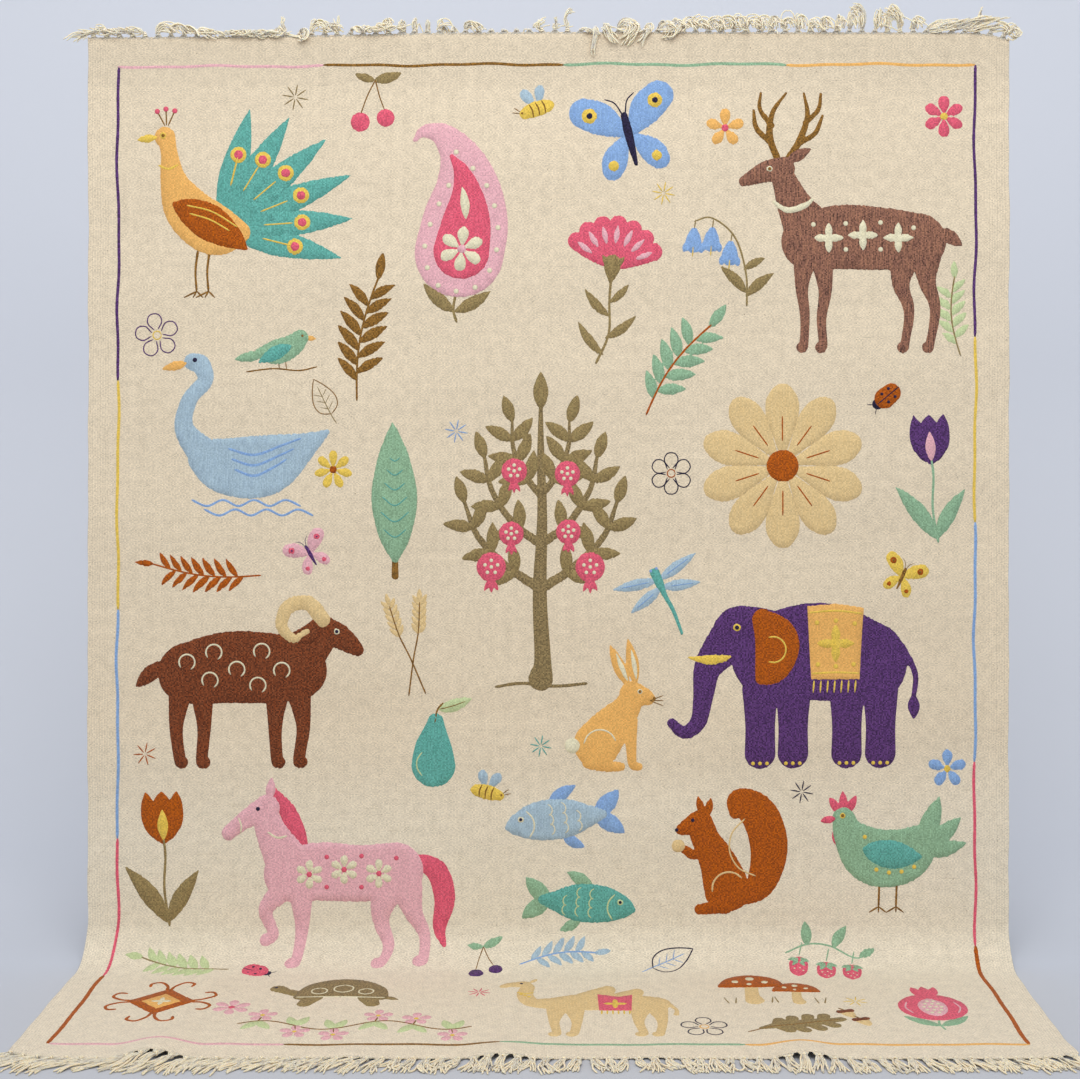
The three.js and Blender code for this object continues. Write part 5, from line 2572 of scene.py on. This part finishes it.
class Border:
    """The thin border line in changing wools, worked a hand's breadth inside the edges."""

    from_top = 0.084
    from_left = 0.078
    from_right = 0.089
    from_front = 0.078
    half_width = 0.0056
    lying_half_width = 0.0078
    sway = 0.0021

    def __init__(self, needlework: Needlework, form: KilimForm) -> None:
        """Keeps the needlework and the form."""
        self.needlework = needlework
        self.form = form

    def sides(self) -> list[Side]:
        """Each side's start and end on the cloth, and its wools with the share at which each ends.

        Returns:
            The top, the left, the right and the front.
        """
        t = Thread
        half = self.form.width / 2
        left, right = -half + self.from_left, half - self.from_right
        top, front = self.from_top, self.form.length - self.from_front
        over = ((t.PINK, 0.24), (t.BROWN, 0.52), (t.MINT, 0.78), (t.ORANGE, 1.0))
        west = ((t.PURPLE, 0.29), (t.YELLOW, 0.50), (t.CORNFLOWER, 0.71), (t.ROSE, 0.845), (t.RUST, 1.0))
        east = ((t.PURPLE, 0.25), (t.YELLOW, 0.42), (t.CORNFLOWER, 0.64), (t.ROSE, 0.808), (t.RUST, 1.0))
        under = ((t.PINK, 0.24), (t.BROWN, 0.46), (t.MINT, 0.71), (t.ORANGE, 1.0))
        return [
            ((left, top), (right, top), over),
            ((left, top), (left, front), west),
            ((right, top), (right, front), east),
            ((left, front), (right, front), under),
        ]

    def build(self) -> bpy.types.Object:
        """Works the four sides.

        Returns:
            The piece.
        """
        parts = MeshParts()
        sides = self.sides()
        threads = list(dict.fromkeys(thread for _, _, wools in sides for thread, _ in wools))
        for number, (start, end, wools) in enumerate(sides):
            begin, finish = np.array(start), np.array(end)
            across = np.array([end[1] - start[1], end[0] - start[0]]) / np.hypot(*(finish - begin))
            low = 0.0
            for thread, high in wools:
                shares = np.linspace(low, high, 2 + int((high - low) * 90))[:, None]
                swing = np.sin(shares * 41 + number) + 0.6 * np.sin(shares * 97 + 2 * number)
                places = begin + (finish - begin) * shares + across * swing * self.sway
                lying = thread is Thread.RUST or number == len(sides) - 1
                wide = self.lying_half_width if lying else self.half_width
                way = np.concatenate([places, np.full_like(shares, wide)], axis=1) / MM
                way[:, 1] *= -1
                self.needlework.line(parts, way, 0, threads.index(thread), step=11.0)
                low = high
        materials = [WOOLS[thread] for thread in threads]
        return settle(parts.piece("border_line", materials, STITCH_MAP))


# Fringes


class Fringe:
    """A row of knotted bunches of loose warp yarn along one end of the cloth."""

    name = "fringe"
    node = ""
    seed = 1
    sides = 5
    steps = 15
    radius = 0.0018
    fewest = 11
    yarn = YarnFinish()
    gather = 0.012
    inside = 0.004
    knot_turns = ((-0.0014, 14.0), (0.0015, -12.0))
    knot_radius = 0.0046
    knot_yarn = 0.0019
    thickness = (0.75, 0.8, 1.05, 1.0, 0.7)

    def __init__(self, form: KilimForm) -> None:
        """Starts the draws, and models the knot that all bunches share.

        Args:
            form: the cloth's form.
        """
        self.form = form
        self.chance = np.random.default_rng(self.seed)
        self.knot_points, self.knot_faces = self.model_knot()

    @classmethod
    def model_knot(cls) -> tuple[Array, list[tuple[int, ...]]]:
        """Models the knot of a bunch, two turns of yarn round it, and gives its points and faces.

        Returns:
            Its points and faces.
        """
        bpy.ops.object.select_all(action="DESELECT")
        for height, turn in cls.knot_turns:
            bpy.ops.mesh.primitive_torus_add(
                major_segments=9,
                minor_segments=5,
                major_radius=cls.knot_radius,
                minor_radius=cls.knot_yarn,
                location=(0.0, 0.0, height),
                rotation=(math.radians(turn), 0.0, 0.0),
            )
            bpy.ops.object.transform_apply(location=True, rotation=True, scale=True)
        turns = [o for o in bpy.context.scene.objects if o.name.startswith("Torus")]
        for turn in turns:
            turn.select_set(True)
        bpy.context.view_layer.objects.active = turns[0]
        bpy.ops.object.join()
        return take(bpy.context.object)

    def bunch_place(self, bunch: int) -> float:
        """The place across of a bunch's middle."""
        return -self.form.width / 2 + (bunch + 0.5) * self.form.bunch_pitch

    def yarns_in(self) -> int:
        """How many yarns the next bunch has."""
        return int(self.chance.integers(self.fewest, self.fewest + 3))

    def bunch(self, number: int) -> tuple[Array, Array, list[Array]]:
        """A bunch: its knot's place, the way that it points and its yarns' ways."""
        raise NotImplementedError

    def walk(self, start: Array, headings: Array, length: float) -> Array:
        """The places of a yarn that leaves start and follows headings."""
        steps = headings / np.linalg.norm(headings, axis=1, keepdims=True) * length / len(headings)
        return start + np.cumsum(steps, axis=0)

    def build(self) -> bpy.types.Object:
        """Builds all bunches as one piece, in place of the solid locks.

        Returns:
            The piece.
        """
        parts = MeshParts()
        strand = 0
        for number in range(self.form.bunches):
            knot, way, yarns = self.bunch(number)
            self.add_knot(parts, knot, way, strand)
            for yarn in yarns:
                strand += 1
                self.add_yarn(parts, yarn, strand)
        piece = parts.piece(self.name, [self.yarn.material()], STITCH_MAP)
        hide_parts(self.node)
        return settle(piece)

    def add_knot(self, parts: MeshParts, place: Array, way: Array, strand: int) -> None:
        """Adds a bunch's knot, turned to the way that the bunch points.

        Args:
            parts: the mesh that it is added to.
            place: the knot's place.
            way: the way that the bunch points.
            strand: a number for its yarn's tone.
        """
        turn = Vector(way).to_track_quat("Z", "X").to_matrix()
        points = self.knot_points @ np.array(turn).T + place
        round_it = np.arctan2(self.knot_points[:, 1], self.knot_points[:, 0]) / (2 * math.pi)
        uv = np.stack([strand + 0.5 + round_it * 0.9, self.knot_points[:, 2] * 2], axis=-1)
        parts.add(points, self.knot_faces, uv)

    def add_yarn(self, parts: MeshParts, yarn: Array, strand: int) -> None:
        """Adds a yarn as a tube along its way, thinner where it leaves the cloth.

        Args:
            parts: the mesh that it is added to.
            yarn: the yarn's places.
            strand: a number for the yarn's tone.
        """
        count = len(yarn)
        way = np.gradient(yarn, axis=0)
        way /= np.linalg.norm(way, axis=1, keepdims=True)
        aside = np.cross(way[0], (0.3, 0.5, 0.8))
        rings = []
        for k in range(count):
            aside = aside - way[k] * (aside @ way[k])
            aside /= np.linalg.norm(aside)
            rings.append((aside, np.cross(way[k], aside)))
        frames = np.array(rings)
        places = (0, 2, 4, count - 2, count - 1)
        thick = self.radius * np.interp(np.arange(count), places, self.thickness)
        turns = np.arange(self.sides) * 2 * math.pi / self.sides
        circle = np.stack([np.cos(turns), np.sin(turns)], axis=-1)
        points = yarn[:, None, :] + np.einsum("sk,nkd->nsd", circle, frames) * thick[:, None, None]
        run = np.concatenate([[0], np.cumsum(np.linalg.norm(np.diff(yarn, axis=0), axis=1))])
        uv = np.stack(
            [
                np.tile(strand + np.abs(np.linspace(-0.96, 0.96, self.sides)), count),
                np.repeat(run, self.sides),
            ],
            axis=-1,
        )
        at = np.arange(count * self.sides).reshape(count, self.sides)
        after = np.roll(at, -1, axis=1)
        walls = np.stack([at[:-1], after[:-1], after[1:], at[1:]], axis=-1).reshape(-1, 4)
        caps = [tuple(at[0, ::-1]), tuple(at[-1])]
        parts.add(points.reshape(-1, 3), [tuple(f) for f in walls] + caps, uv)


class FloorFringe(Fringe):
    """The fringe of the front end, which drops from the cloth's edge and lies on the floor."""

    name = "fringe_floor_yarns"
    node = "fringe_floor"
    seed = 11
    radius = 0.0022
    fewest = 9
    # painted shade: the same undyed yarn as at the top, in darker colours
    yarn = YarnFinish("undyed_yarn_of_the_front", (241, 222, 190), (231, 206, 169))
    knot_low = 0.0068
    longest = 0.100
    lean = Table(
        (-1200, -1000, -780, -450, -300, -100, 20, 150, 600, 780, 950, 1200),
        (-60, -58, -56, -48, -22, -12, -28, 2, 4, 16, 30, 38),
    )
    reach = Table(
        (-1200, -1000, -780, -450, -300, -100, 20, 150, 600, 780, 950, 1200),
        (48, 51, 55, 59, 64, 66, 62, 64, 68, 65, 63, 61),
    )
    wild = Table((-1200, -460, -340, 380, 560, 900, 1200), (0.6, 0.6, 1.4, 1.3, 0.9, 0.8, 1.2))

    def bunch(self, number: int) -> tuple[Array, Array, list[Array]]:
        """A bunch that fans out over the floor.

        Args:
            number: the bunch's number from the left.

        Returns:
            Its knot's place, the way that it points and its yarns' ways.
        """
        draw = self.chance
        x = self.bunch_place(number)
        edge = self.form.point(x, self.form.length, 0.0)
        lean = math.radians(float(self.lean.at(x)) + draw.normal(0, 5))
        full = float(self.reach.at(x)) * MM / math.cos(lean)
        length = min(full, self.longest) * draw.uniform(0.92, 1.04)
        out = np.array([math.sin(lean * 0.5), -math.cos(lean * 0.5), 0.0])
        knot = edge + out * self.gather
        knot[2] = max(self.knot_low, edge[2] * 0.8)
        wild = float(self.wild.at(x))
        bow = draw.normal(0, 0.5 * wild)
        count = self.yarns_in()
        yarns = []
        for k in range(count):
            fan = (k + 0.5) / count * 2 - 1
            foot = x + fan * self.form.bunch_pitch * 0.46
            root = self.form.point(foot, self.form.length - self.inside, 0.0)
            through = knot + np.array([fan * 0.0062, 0.0, draw.uniform(-0.0014, 0.0022)])
            angle = lean + math.radians(fan * 13 + draw.normal(0, 4 * wild))
            curl = bow + draw.normal(0, 0.22 * wild) + fan * 0.12
            hook = draw.normal(0, 1.2) if draw.uniform() < 0.2 * wild else 0.0
            share = np.linspace(0, 1, self.steps - 4)
            sway = 0.16 * np.sin(share * 9 + draw.uniform(0, 6))
            headings = angle + curl * share + hook * share**4 + sway
            flat = np.stack([np.sin(headings), -np.cos(headings), np.zeros_like(headings)], axis=-1)
            tail = self.walk(through, flat, length * draw.uniform(0.8, 1.06))
            rest = self.radius * 1.1 + draw.uniform(0, 0.0055) * np.sin(share * math.pi) ** 0.7
            fall = np.exp(-((share * 3.2) ** 2))
            tail[:, 2] = rest * (1 - fall) + max(through[2], self.radius) * fall
            near = root * 0.45 + through * 0.55
            yarns.append(np.vstack([root, near, through, tail]))
        return knot, out, yarns


@dataclass(frozen=True)
class Lock:
    """How some bunches in a row lie: the way of their middle from the knot, and how full they are.

    A way is given in millimetres: aside, to the back and up. A share of the yarns strays and lies lower.
    Combed yarns keep side by side, and in a rope they twist round each other.
    """

    first: int
    last: int
    way: tuple[tuple[float, float, float], ...]
    full: float = 6.5
    fan: float = 4.0
    scatter: float = 0.12
    stray: float = 0.2
    twist: float = 0.5


class TopFringe(Fringe):
    """The fringe of the top end, whose bunches stand, lean, loop over or have fallen to either side."""

    name = "fringe_top_yarns"
    node = "fringe_top"
    seed = 23
    steps = 18
    locks = (
        Lock(0, 0, ((-8, -3, 6), (-28, -5, 4), (-50, -6, -10)), 6, 8, 0.2, 0.1),
        Lock(1, 1, ((-3, -3, 10), (-12, -5, 17), (-24, -4, 21)), 7, 9, 0.3),
        Lock(2, 4, ((-6, -5, 6), (-28, -8, 9), (-56, -8, 10), (-84, -6, 10)), 7.5, 2, 0.2, 0.1, 1.6),
        Lock(5, 6, ((0, -3, 12), (10, -6, 22), (28, -8, 18), (46, -9, 0)), 8, 4, 0.2),
        Lock(7, 8, ((2, -3, 10), (12, -6, 17), (30, -8, 11), (46, -9, -2)), 8, 4, 0.2),
        Lock(9, 13, ((8, -5, 4), (28, -8, 5), (50, -8, -2), (66, -7, 3)), 6, 2, 0.3, 0.2, 2.0),
        Lock(14, 14, ((4, -5, 6), (14, -8, 8), (26, -8, 2)), 6, 4, 0.3),
        Lock(15, 15, ((-3, -2, 12), (-9, -3, 26), (-6, -2, 42)), 3.5, 0, 0.08, 0.4),
        Lock(16, 16, ((8, -7, 8), (18, -11, 0), (12, -9, -18), (-2, -8, -8)), 7, 4),
        Lock(17, 18, ((2, -3, 12), (10, -6, 22), (26, -8, 21), (42, -9, 4)), 9, 5, 0.25),
        Lock(19, 19, ((-2, -2, 14), (-4, -3, 30), (-8, -2, 44)), 6, 2, 0.2, 0.5),
        Lock(20, 22, ((8, -6, 13), (24, -9, 10), (42, -9, 8), (58, -8, 6)), 8, 4, 0.3, 0.2, 1.6),
        Lock(23, 23, ((-2, -2, 12), (-8, -3, 20), (4, -6, 24), (10, -8, 4)), 7, 4, 0.3),
        Lock(24, 26, ((0, -1, 12), (1, 0, 24), (3, 6, 28), (4, 13, 8), (5, 14, -20)), 9, 3),
        Lock(27, 27, ((0, -2, 12), (3, -2, 20), (12, 6, 22), (20, 13, 4), (22, 14, -20)), 10, 4, 0.3),
        Lock(28, 28, ((0, 0, 6), (2, 7, 8), (3, 13, -4), (4, 14, -40)), 5, 4, 0.12, 0.0),
        Lock(29, 29, ((4, -4, 12), (18, -7, 17), (36, -8, 8), (44, -8, -4)), 7.5, 3, 0.2),
        Lock(30, 34, ((0, 5, 3), (2, 13, -2), (4, 14, -36), (6, 12, -78)), 6, 3, 0.12, 0.2),
        Lock(35, 35, ((-6, -3, 6), (-14, -5, 8), (-6, -5, 16), (8, -3, 24)), 6, 5, 0.3),
        Lock(36, 36, ((2, -1, 12), (2, -1, 24), (4, 1, 34)), 7.5, 4, 0.25, 0.4),
        Lock(37, 37, ((-2, -2, 14), (-5, -3, 36), (2, -3, 52), (18, -3, 56)), 6, 0, 0.08, 0.15),
        Lock(38, 38, ((8, -5, 2), (22, -9, -2), (38, -9, -12)), 5, 3, 0.3),
        Lock(39, 39, ((4, -8, 6), (6, -12, -4), (2, -9, -32), (-4, -8, -64)), 8, -4),
        Lock(40, 40, ((-2, -7, 12), (2, -12, 4), (14, -10, -20), (28, -8, -44)), 8, 3, 0.2),
        Lock(41, 41, ((2, -5, 12), (14, -9, 22), (30, -10, 10), (24, -10, -12), (8, -10, -26)), 9, 4, 0.2),
        Lock(42, 42, ((8, -7, 12), (10, -12, 4), (-4, -10, -20), (-22, -8, -46)), 9, 4, 0.2),
        Lock(43, 43, ((8, -7, 12), (12, -12, 2), (0, -10, -18), (-14, -8, -40)), 9, 4, 0.2),
        Lock(44, 44, ((8, -6, 12), (24, -10, 16), (38, -12, -2), (28, -10, -20), (6, -9, -20)), 8.5, 3, 0.2),
        Lock(45, 45, ((4, -4, 14), (18, -8, 22), (32, -12, 6), (22, -10, -12)), 9, 4, 0.25),
        Lock(46, 48, ((3, -3, 14), (12, -6, 27), (28, -8, 25), (40, -9, 8), (40, -9, -4)), 10, 4, 0.3),
        Lock(49, 52, ((0, -2, 14), (5, -5, 30), (18, -8, 31), (26, -9, 12), (22, -9, -2)), 10, 5, 0.3),
        Lock(53, 54, ((0, -2, 14), (-2, -5, 26), (10, -8, 29), (18, -9, 8)), 10, 5, 0.3),
        Lock(55, 56, ((0, -2, 14), (2, -4, 29), (12, -7, 29), (18, -9, 10), (16, -9, -2)), 10, 4, 0.3),
        Lock(57, 57, ((0, -2, 12), (-2, -4, 26), (6, -7, 30), (16, -9, 14), (16, -9, 0)), 9.5, 4, 0.3),
        Lock(58, 59, ((2, -2, 16), (4, -4, 36), (10, -6, 42), (18, -9, 24), (16, -9, 2)), 9, 4, 0.25),
        Lock(60, 60, ((2, -2, 18), (2, -3, 42), (-6, -3, 58), (-24, -3, 62)), 8, 0, 0.10, 0.1),
        Lock(61, 61, ((4, -3, 16), (10, -5, 36), (18, -7, 42), (20, -9, 20), (14, -9, 2)), 10, 4, 0.25),
        Lock(62, 62, ((-2, -3, 20), (2, -4, 42), (14, -6, 56), (32, -9, 38), (40, -10, 8)), 9, 3, 0.2),
        Lock(63, 63, ((-4, -4, 22), (-20, -9, 38), (-44, -9, 48)), 7, 4, 0.2),
        Lock(64, 64, ((2, -4, 16), (6, -6, 30), (20, -9, 18), (26, -9, 2)), 8, 5, 0.3),
        Lock(65, 68, ((10, -4, 7), (32, -7, 18), (58, -7, 27), (84, -4, 31)), 8.5, 2, 0.14),
        Lock(69, 69, ((2, -1, 18), (5, -2, 42), (12, -1, 68)), 5, 2, 0.10, 0.4),
        Lock(70, 70, ((6, -5, 12), (24, -8, 18), (44, -9, 4), (34, -10, -8)), 9, 3, 0.3),
        Lock(71, 71, ((6, -5, 12), (22, -8, 22), (34, -9, 8), (24, -10, -4), (8, -10, 4)), 9.5, 3, 0.2),
    )

    def bunch(self, number: int) -> tuple[Array, Array, list[Array]]:
        """A bunch whose yarns twist round each other along their lock's way.

        Args:
            number: the bunch's number from the left.

        Returns:
            Its knot's place, the way that it points and its yarns' ways.
        """
        draw = self.chance
        x = self.bunch_place(number)
        edge = self.form.point(x, 0.0, 0.0)
        lock = next(lock for lock in self.locks if lock.first <= number <= lock.last)
        vary = 0.03 if lock.first == lock.last else 0.12
        way = np.array(lock.way, float) * MM * draw.normal(1.0, vary, 3)
        out = np.array([way[0, 0] * 0.5, 0.0, 0.012])
        out /= np.linalg.norm(out)
        knot = edge + out * self.gather * 0.5
        side = 1.0 if way[-1, 1] > 0 else -1.0
        twist, phase = draw.choice((-1, 1)) * draw.uniform(0.5, 1.4) * lock.twist, draw.normal(0, 0.5)
        count = self.yarns_in()
        yarns = []
        for k in range(count):
            fan = (k + 0.5) / count * 2 - 1
            root = self.form.point(x + fan * self.form.bunch_pitch * 0.47, self.inside, 0.0)
            own = way * draw.normal(1.0, (lock.scatter * 1.3, lock.scatter / 3, lock.scatter * 0.55))
            if draw.uniform() < lock.stray:
                own[:, 2] *= draw.uniform(0.1, 0.65)
                own[:, 0] += draw.normal(0, 0.011) * np.linspace(0.4, 1.0, len(own))
            middle = smooth_way(np.vstack([knot, knot + own]), 8)
            share = np.linspace(0, 1, self.steps - 2)
            centre = self.along(middle, share * draw.uniform(0.8, 1.0))
            heading = np.gradient(centre, axis=0)
            aside = np.stack([-heading[:, 2], np.zeros_like(share), heading[:, 0]], axis=-1)
            aside /= np.maximum(np.linalg.norm(aside, axis=1, keepdims=True), 1e-6)
            turn = phase + twist * share * math.pi + draw.normal(0, 0.2)
            spread_out = lock.full * (0.45 + 0.55 * ease(share * 3)) + lock.fan * share**2
            reach = -fan * np.maximum(spread_out, 2.0) * MM
            wave = 0.0011 * np.sin(share * draw.uniform(7, 12) + draw.uniform(0, 6)) * ease(share * 4)
            tail = centre + aside * (reach * np.cos(turn) + wave)[:, None]
            tail[:, 1] += reach * 0.7 * np.sin(turn) + draw.uniform(-0.0035, 0.0035) * ease(share * 4)
            tail += draw.normal(0, 0.003, 3) * (share**3)[:, None]
            tail[:, 1] = self.beside(tail, edge, side)
            near = root * 0.5 + tail[0] * 0.5
            yarns.append(np.vstack([root, near, tail]))
        return knot, out, yarns

    @staticmethod
    def along(middle: Array, share: Array) -> Array:
        """Places at shares of the length of a way.

        Args:
            middle: the way.
            share: shares of its length.

        Returns:
            The places.
        """
        run = np.concatenate([[0], np.cumsum(np.linalg.norm(np.diff(middle, axis=0), axis=1))])
        at = share * run[-1]
        return np.stack([np.interp(at, run, middle[:, axis]) for axis in range(3)], axis=-1)

    def beside(self, tail: Array, edge: Array, side: float) -> Array:
        """The depths of a yarn's places, kept clear of the cloth below its top edge.

        Args:
            tail: the yarn's places.
            edge: the place of the cloth's top edge at the bunch.
            side: 1 behind the cloth and -1 before it.

        Returns:
            The depths.
        """
        clear = 0.0015 + self.radius
        depth = tail[:, 1] - edge[1]
        below = ease((edge[2] + 0.004 - tail[:, 2]) / 0.008)
        held = side * np.maximum(side * depth, clear + 0.001)
        depth = depth * (1 - below) + held * below
        return edge[1] + np.clip(depth, -0.06, 0.022)


class Studio:
    """A pale sweep, soft lamps and the camera."""

    image_size = (1080, 1079)
    horizon_row = 389.0
    camera_height = 1.494
    camera_distance = 4.30
    camera_aside = -0.022
    lens = 55.0
    sweep_size = 12.0
    sweep_middle = -3.0
    wall_height = 7.0
    turn_width = 1.6
    paper_colour = (214, 218, 227)
    room_colour = (252, 253, 255)
    room_light = 0.81

    def __init__(self, form: KilimForm) -> None:
        """Keeps the form."""
        self.form = form

    def camera(self) -> None:
        """Sets a level camera whose shift puts the horizon at its row."""
        wide, high = self.image_size
        data = bpy.data.cameras.new("camera")
        data.lens = self.lens
        data.shift_y = (self.horizon_row - high / 2) / wide
        made = bpy.data.objects.new("camera", data)
        made.location = (
            self.camera_aside + self.form.shift[0],
            self.form.shift[1] - self.camera_distance,
            self.camera_height,
        )
        made.rotation_euler = (math.pi / 2, 0.0, 0.0)
        bpy.context.scene.collection.objects.link(made)
        bpy.context.scene.camera = made

    def sweep(self) -> None:
        """Models a floor that turns up into a back wall."""
        bpy.ops.object.select_all(action="DESELECT")
        bpy.ops.mesh.primitive_plane_add(size=self.sweep_size, location=(0.0, self.sweep_middle, 0.0))
        floor = bpy.context.object
        floor.name = "studio_sweep"
        bpy.ops.object.transform_apply(location=True, rotation=True, scale=True)
        for polygon in floor.data.polygons:
            polygon.select = False
        for edge in floor.data.edges:
            edge.select = min(floor.data.vertices[v].co.y for v in edge.vertices) > 0
        for vertex in floor.data.vertices:
            vertex.select = vertex.co.y > 0
        bpy.ops.object.mode_set(mode="EDIT")
        bpy.ops.mesh.select_mode(type="EDGE")
        bpy.ops.mesh.extrude_region_move(TRANSFORM_OT_translate={"value": (0.0, 0.0, self.wall_height)})
        bpy.ops.object.mode_set(mode="OBJECT")
        bevel = floor.modifiers.new("turn", "BEVEL")
        bevel.width = self.turn_width
        bevel.segments = 24
        bpy.ops.object.modifier_apply(modifier=bevel.name)
        bpy.ops.object.shade_smooth()
        floor.data.materials.append(self.paper())

    @classmethod
    def paper(cls) -> bpy.types.Material:
        """Pale paper with painted shade, darker towards the floor's front, that can be seen through from
        behind.

        Returns:
            The material.
        """
        sheet = ShaderSheet("pale_paper")
        place = {"Vector": sheet.node("ShaderNodeTexCoord", {}, {}, "Object")}
        depth, height = (sheet.node("ShaderNodeSeparateXYZ", {}, place, axis) for axis in (1, 2))
        run = depth + height
        # painted shade: the paper darkens towards the floor's front and lightens towards the back and up the
        # wall
        light = 0.70 + run.ramp(-0.7, 1.6) * 0.20 + run.ramp(0.3, 1.0) * 0.055 + run.ramp(1.8, 6.4) * 0.135
        sheet.plug(sheet.surface.inputs["Base Color"], sheet.shaded(linear(cls.paper_colour), light))
        behind = sheet.node("ShaderNodeNewGeometry", {}, {}, "Backfacing")
        sheet.plug(sheet.surface.inputs["Alpha"], 1.0 - behind)
        sheet.surface.inputs["Roughness"].default_value = 0.95
        sheet.surface.inputs["Specular IOR Level"].default_value = 0.1
        return sheet.material

    def lamp(
        self, name: str, place: Sequence[float], target: Sequence[float], size: float, watts: float
    ) -> None:
        """Adds a square soft lamp that looks at a target.

        Args:
            name: the lamp's name.
            place: where it stands.
            target: what it looks at.
            size: its side's length.
            watts: its power.
        """
        data = bpy.data.lights.new(name, "AREA")
        data.shape = "SQUARE"
        data.size = size
        data.energy = watts
        made = bpy.data.objects.new(name, data)
        aim = Vector(target) - Vector(place)
        turned = aim.to_track_quat("-Z", "Y").to_matrix().to_4x4()
        made.matrix_world = Matrix.Translation(place) @ turned
        bpy.context.scene.collection.objects.link(made)

    def build(self) -> None:
        """Sets up the sweep, the lamps, the pale surroundings and the camera."""
        self.sweep()
        self.lamp("lamp_high", (0.0, -3.3, 4.0), (0.0, 0.2, 1.4), 3.0, 65.0)
        self.lamp("lamp_front", (0.0, -3.0, 5.0), (0.0, -0.6, 0.0), 3.0, 51.0)
        self.lamp("lamp_over", (0.0, -1.6, 4.6), (0.0, -1.2, 0.0), 2.5, 13.0)
        world = bpy.data.worlds.new("pale_room")
        world.use_nodes = True
        ground = next(n for n in world.node_tree.nodes if n.type == "BACKGROUND")
        ground.inputs["Color"].default_value = linear(self.room_colour)
        ground.inputs["Strength"].default_value = self.room_light
        bpy.context.scene.world = world
        bpy.context.scene.view_settings.view_transform = "Standard"
        self.camera()


def main() -> None:
    logging.basicConfig(level=logging.INFO, format="%(message)s")
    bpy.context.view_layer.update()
    top_edge = next(m for m in frame["record"]["mounts"] if m["name"] == "top_edge")
    form = KilimForm(shift=(top_edge["pos_m"][0], top_edge["pos_m"][1]))
    Studio(form).build()
    cloth = Cloth(form)
    sheet = cloth.build()
    needlework = Needlework(form, cloth.thick)
    pieces = [Border(needlework, form).build()]
    named: dict[str, list[Motif]] = {}
    for motif in figures() + plants() + fillers():
        named.setdefault(motif.name, []).append(motif)
    pieces += [needlework.work(name, motifs) for name, motifs in named.items()]
    pieces += [TopFringe(form).build(), FloorFringe(form).build()]
    form.length
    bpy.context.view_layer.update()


if __name__ == "__main__":
    main()
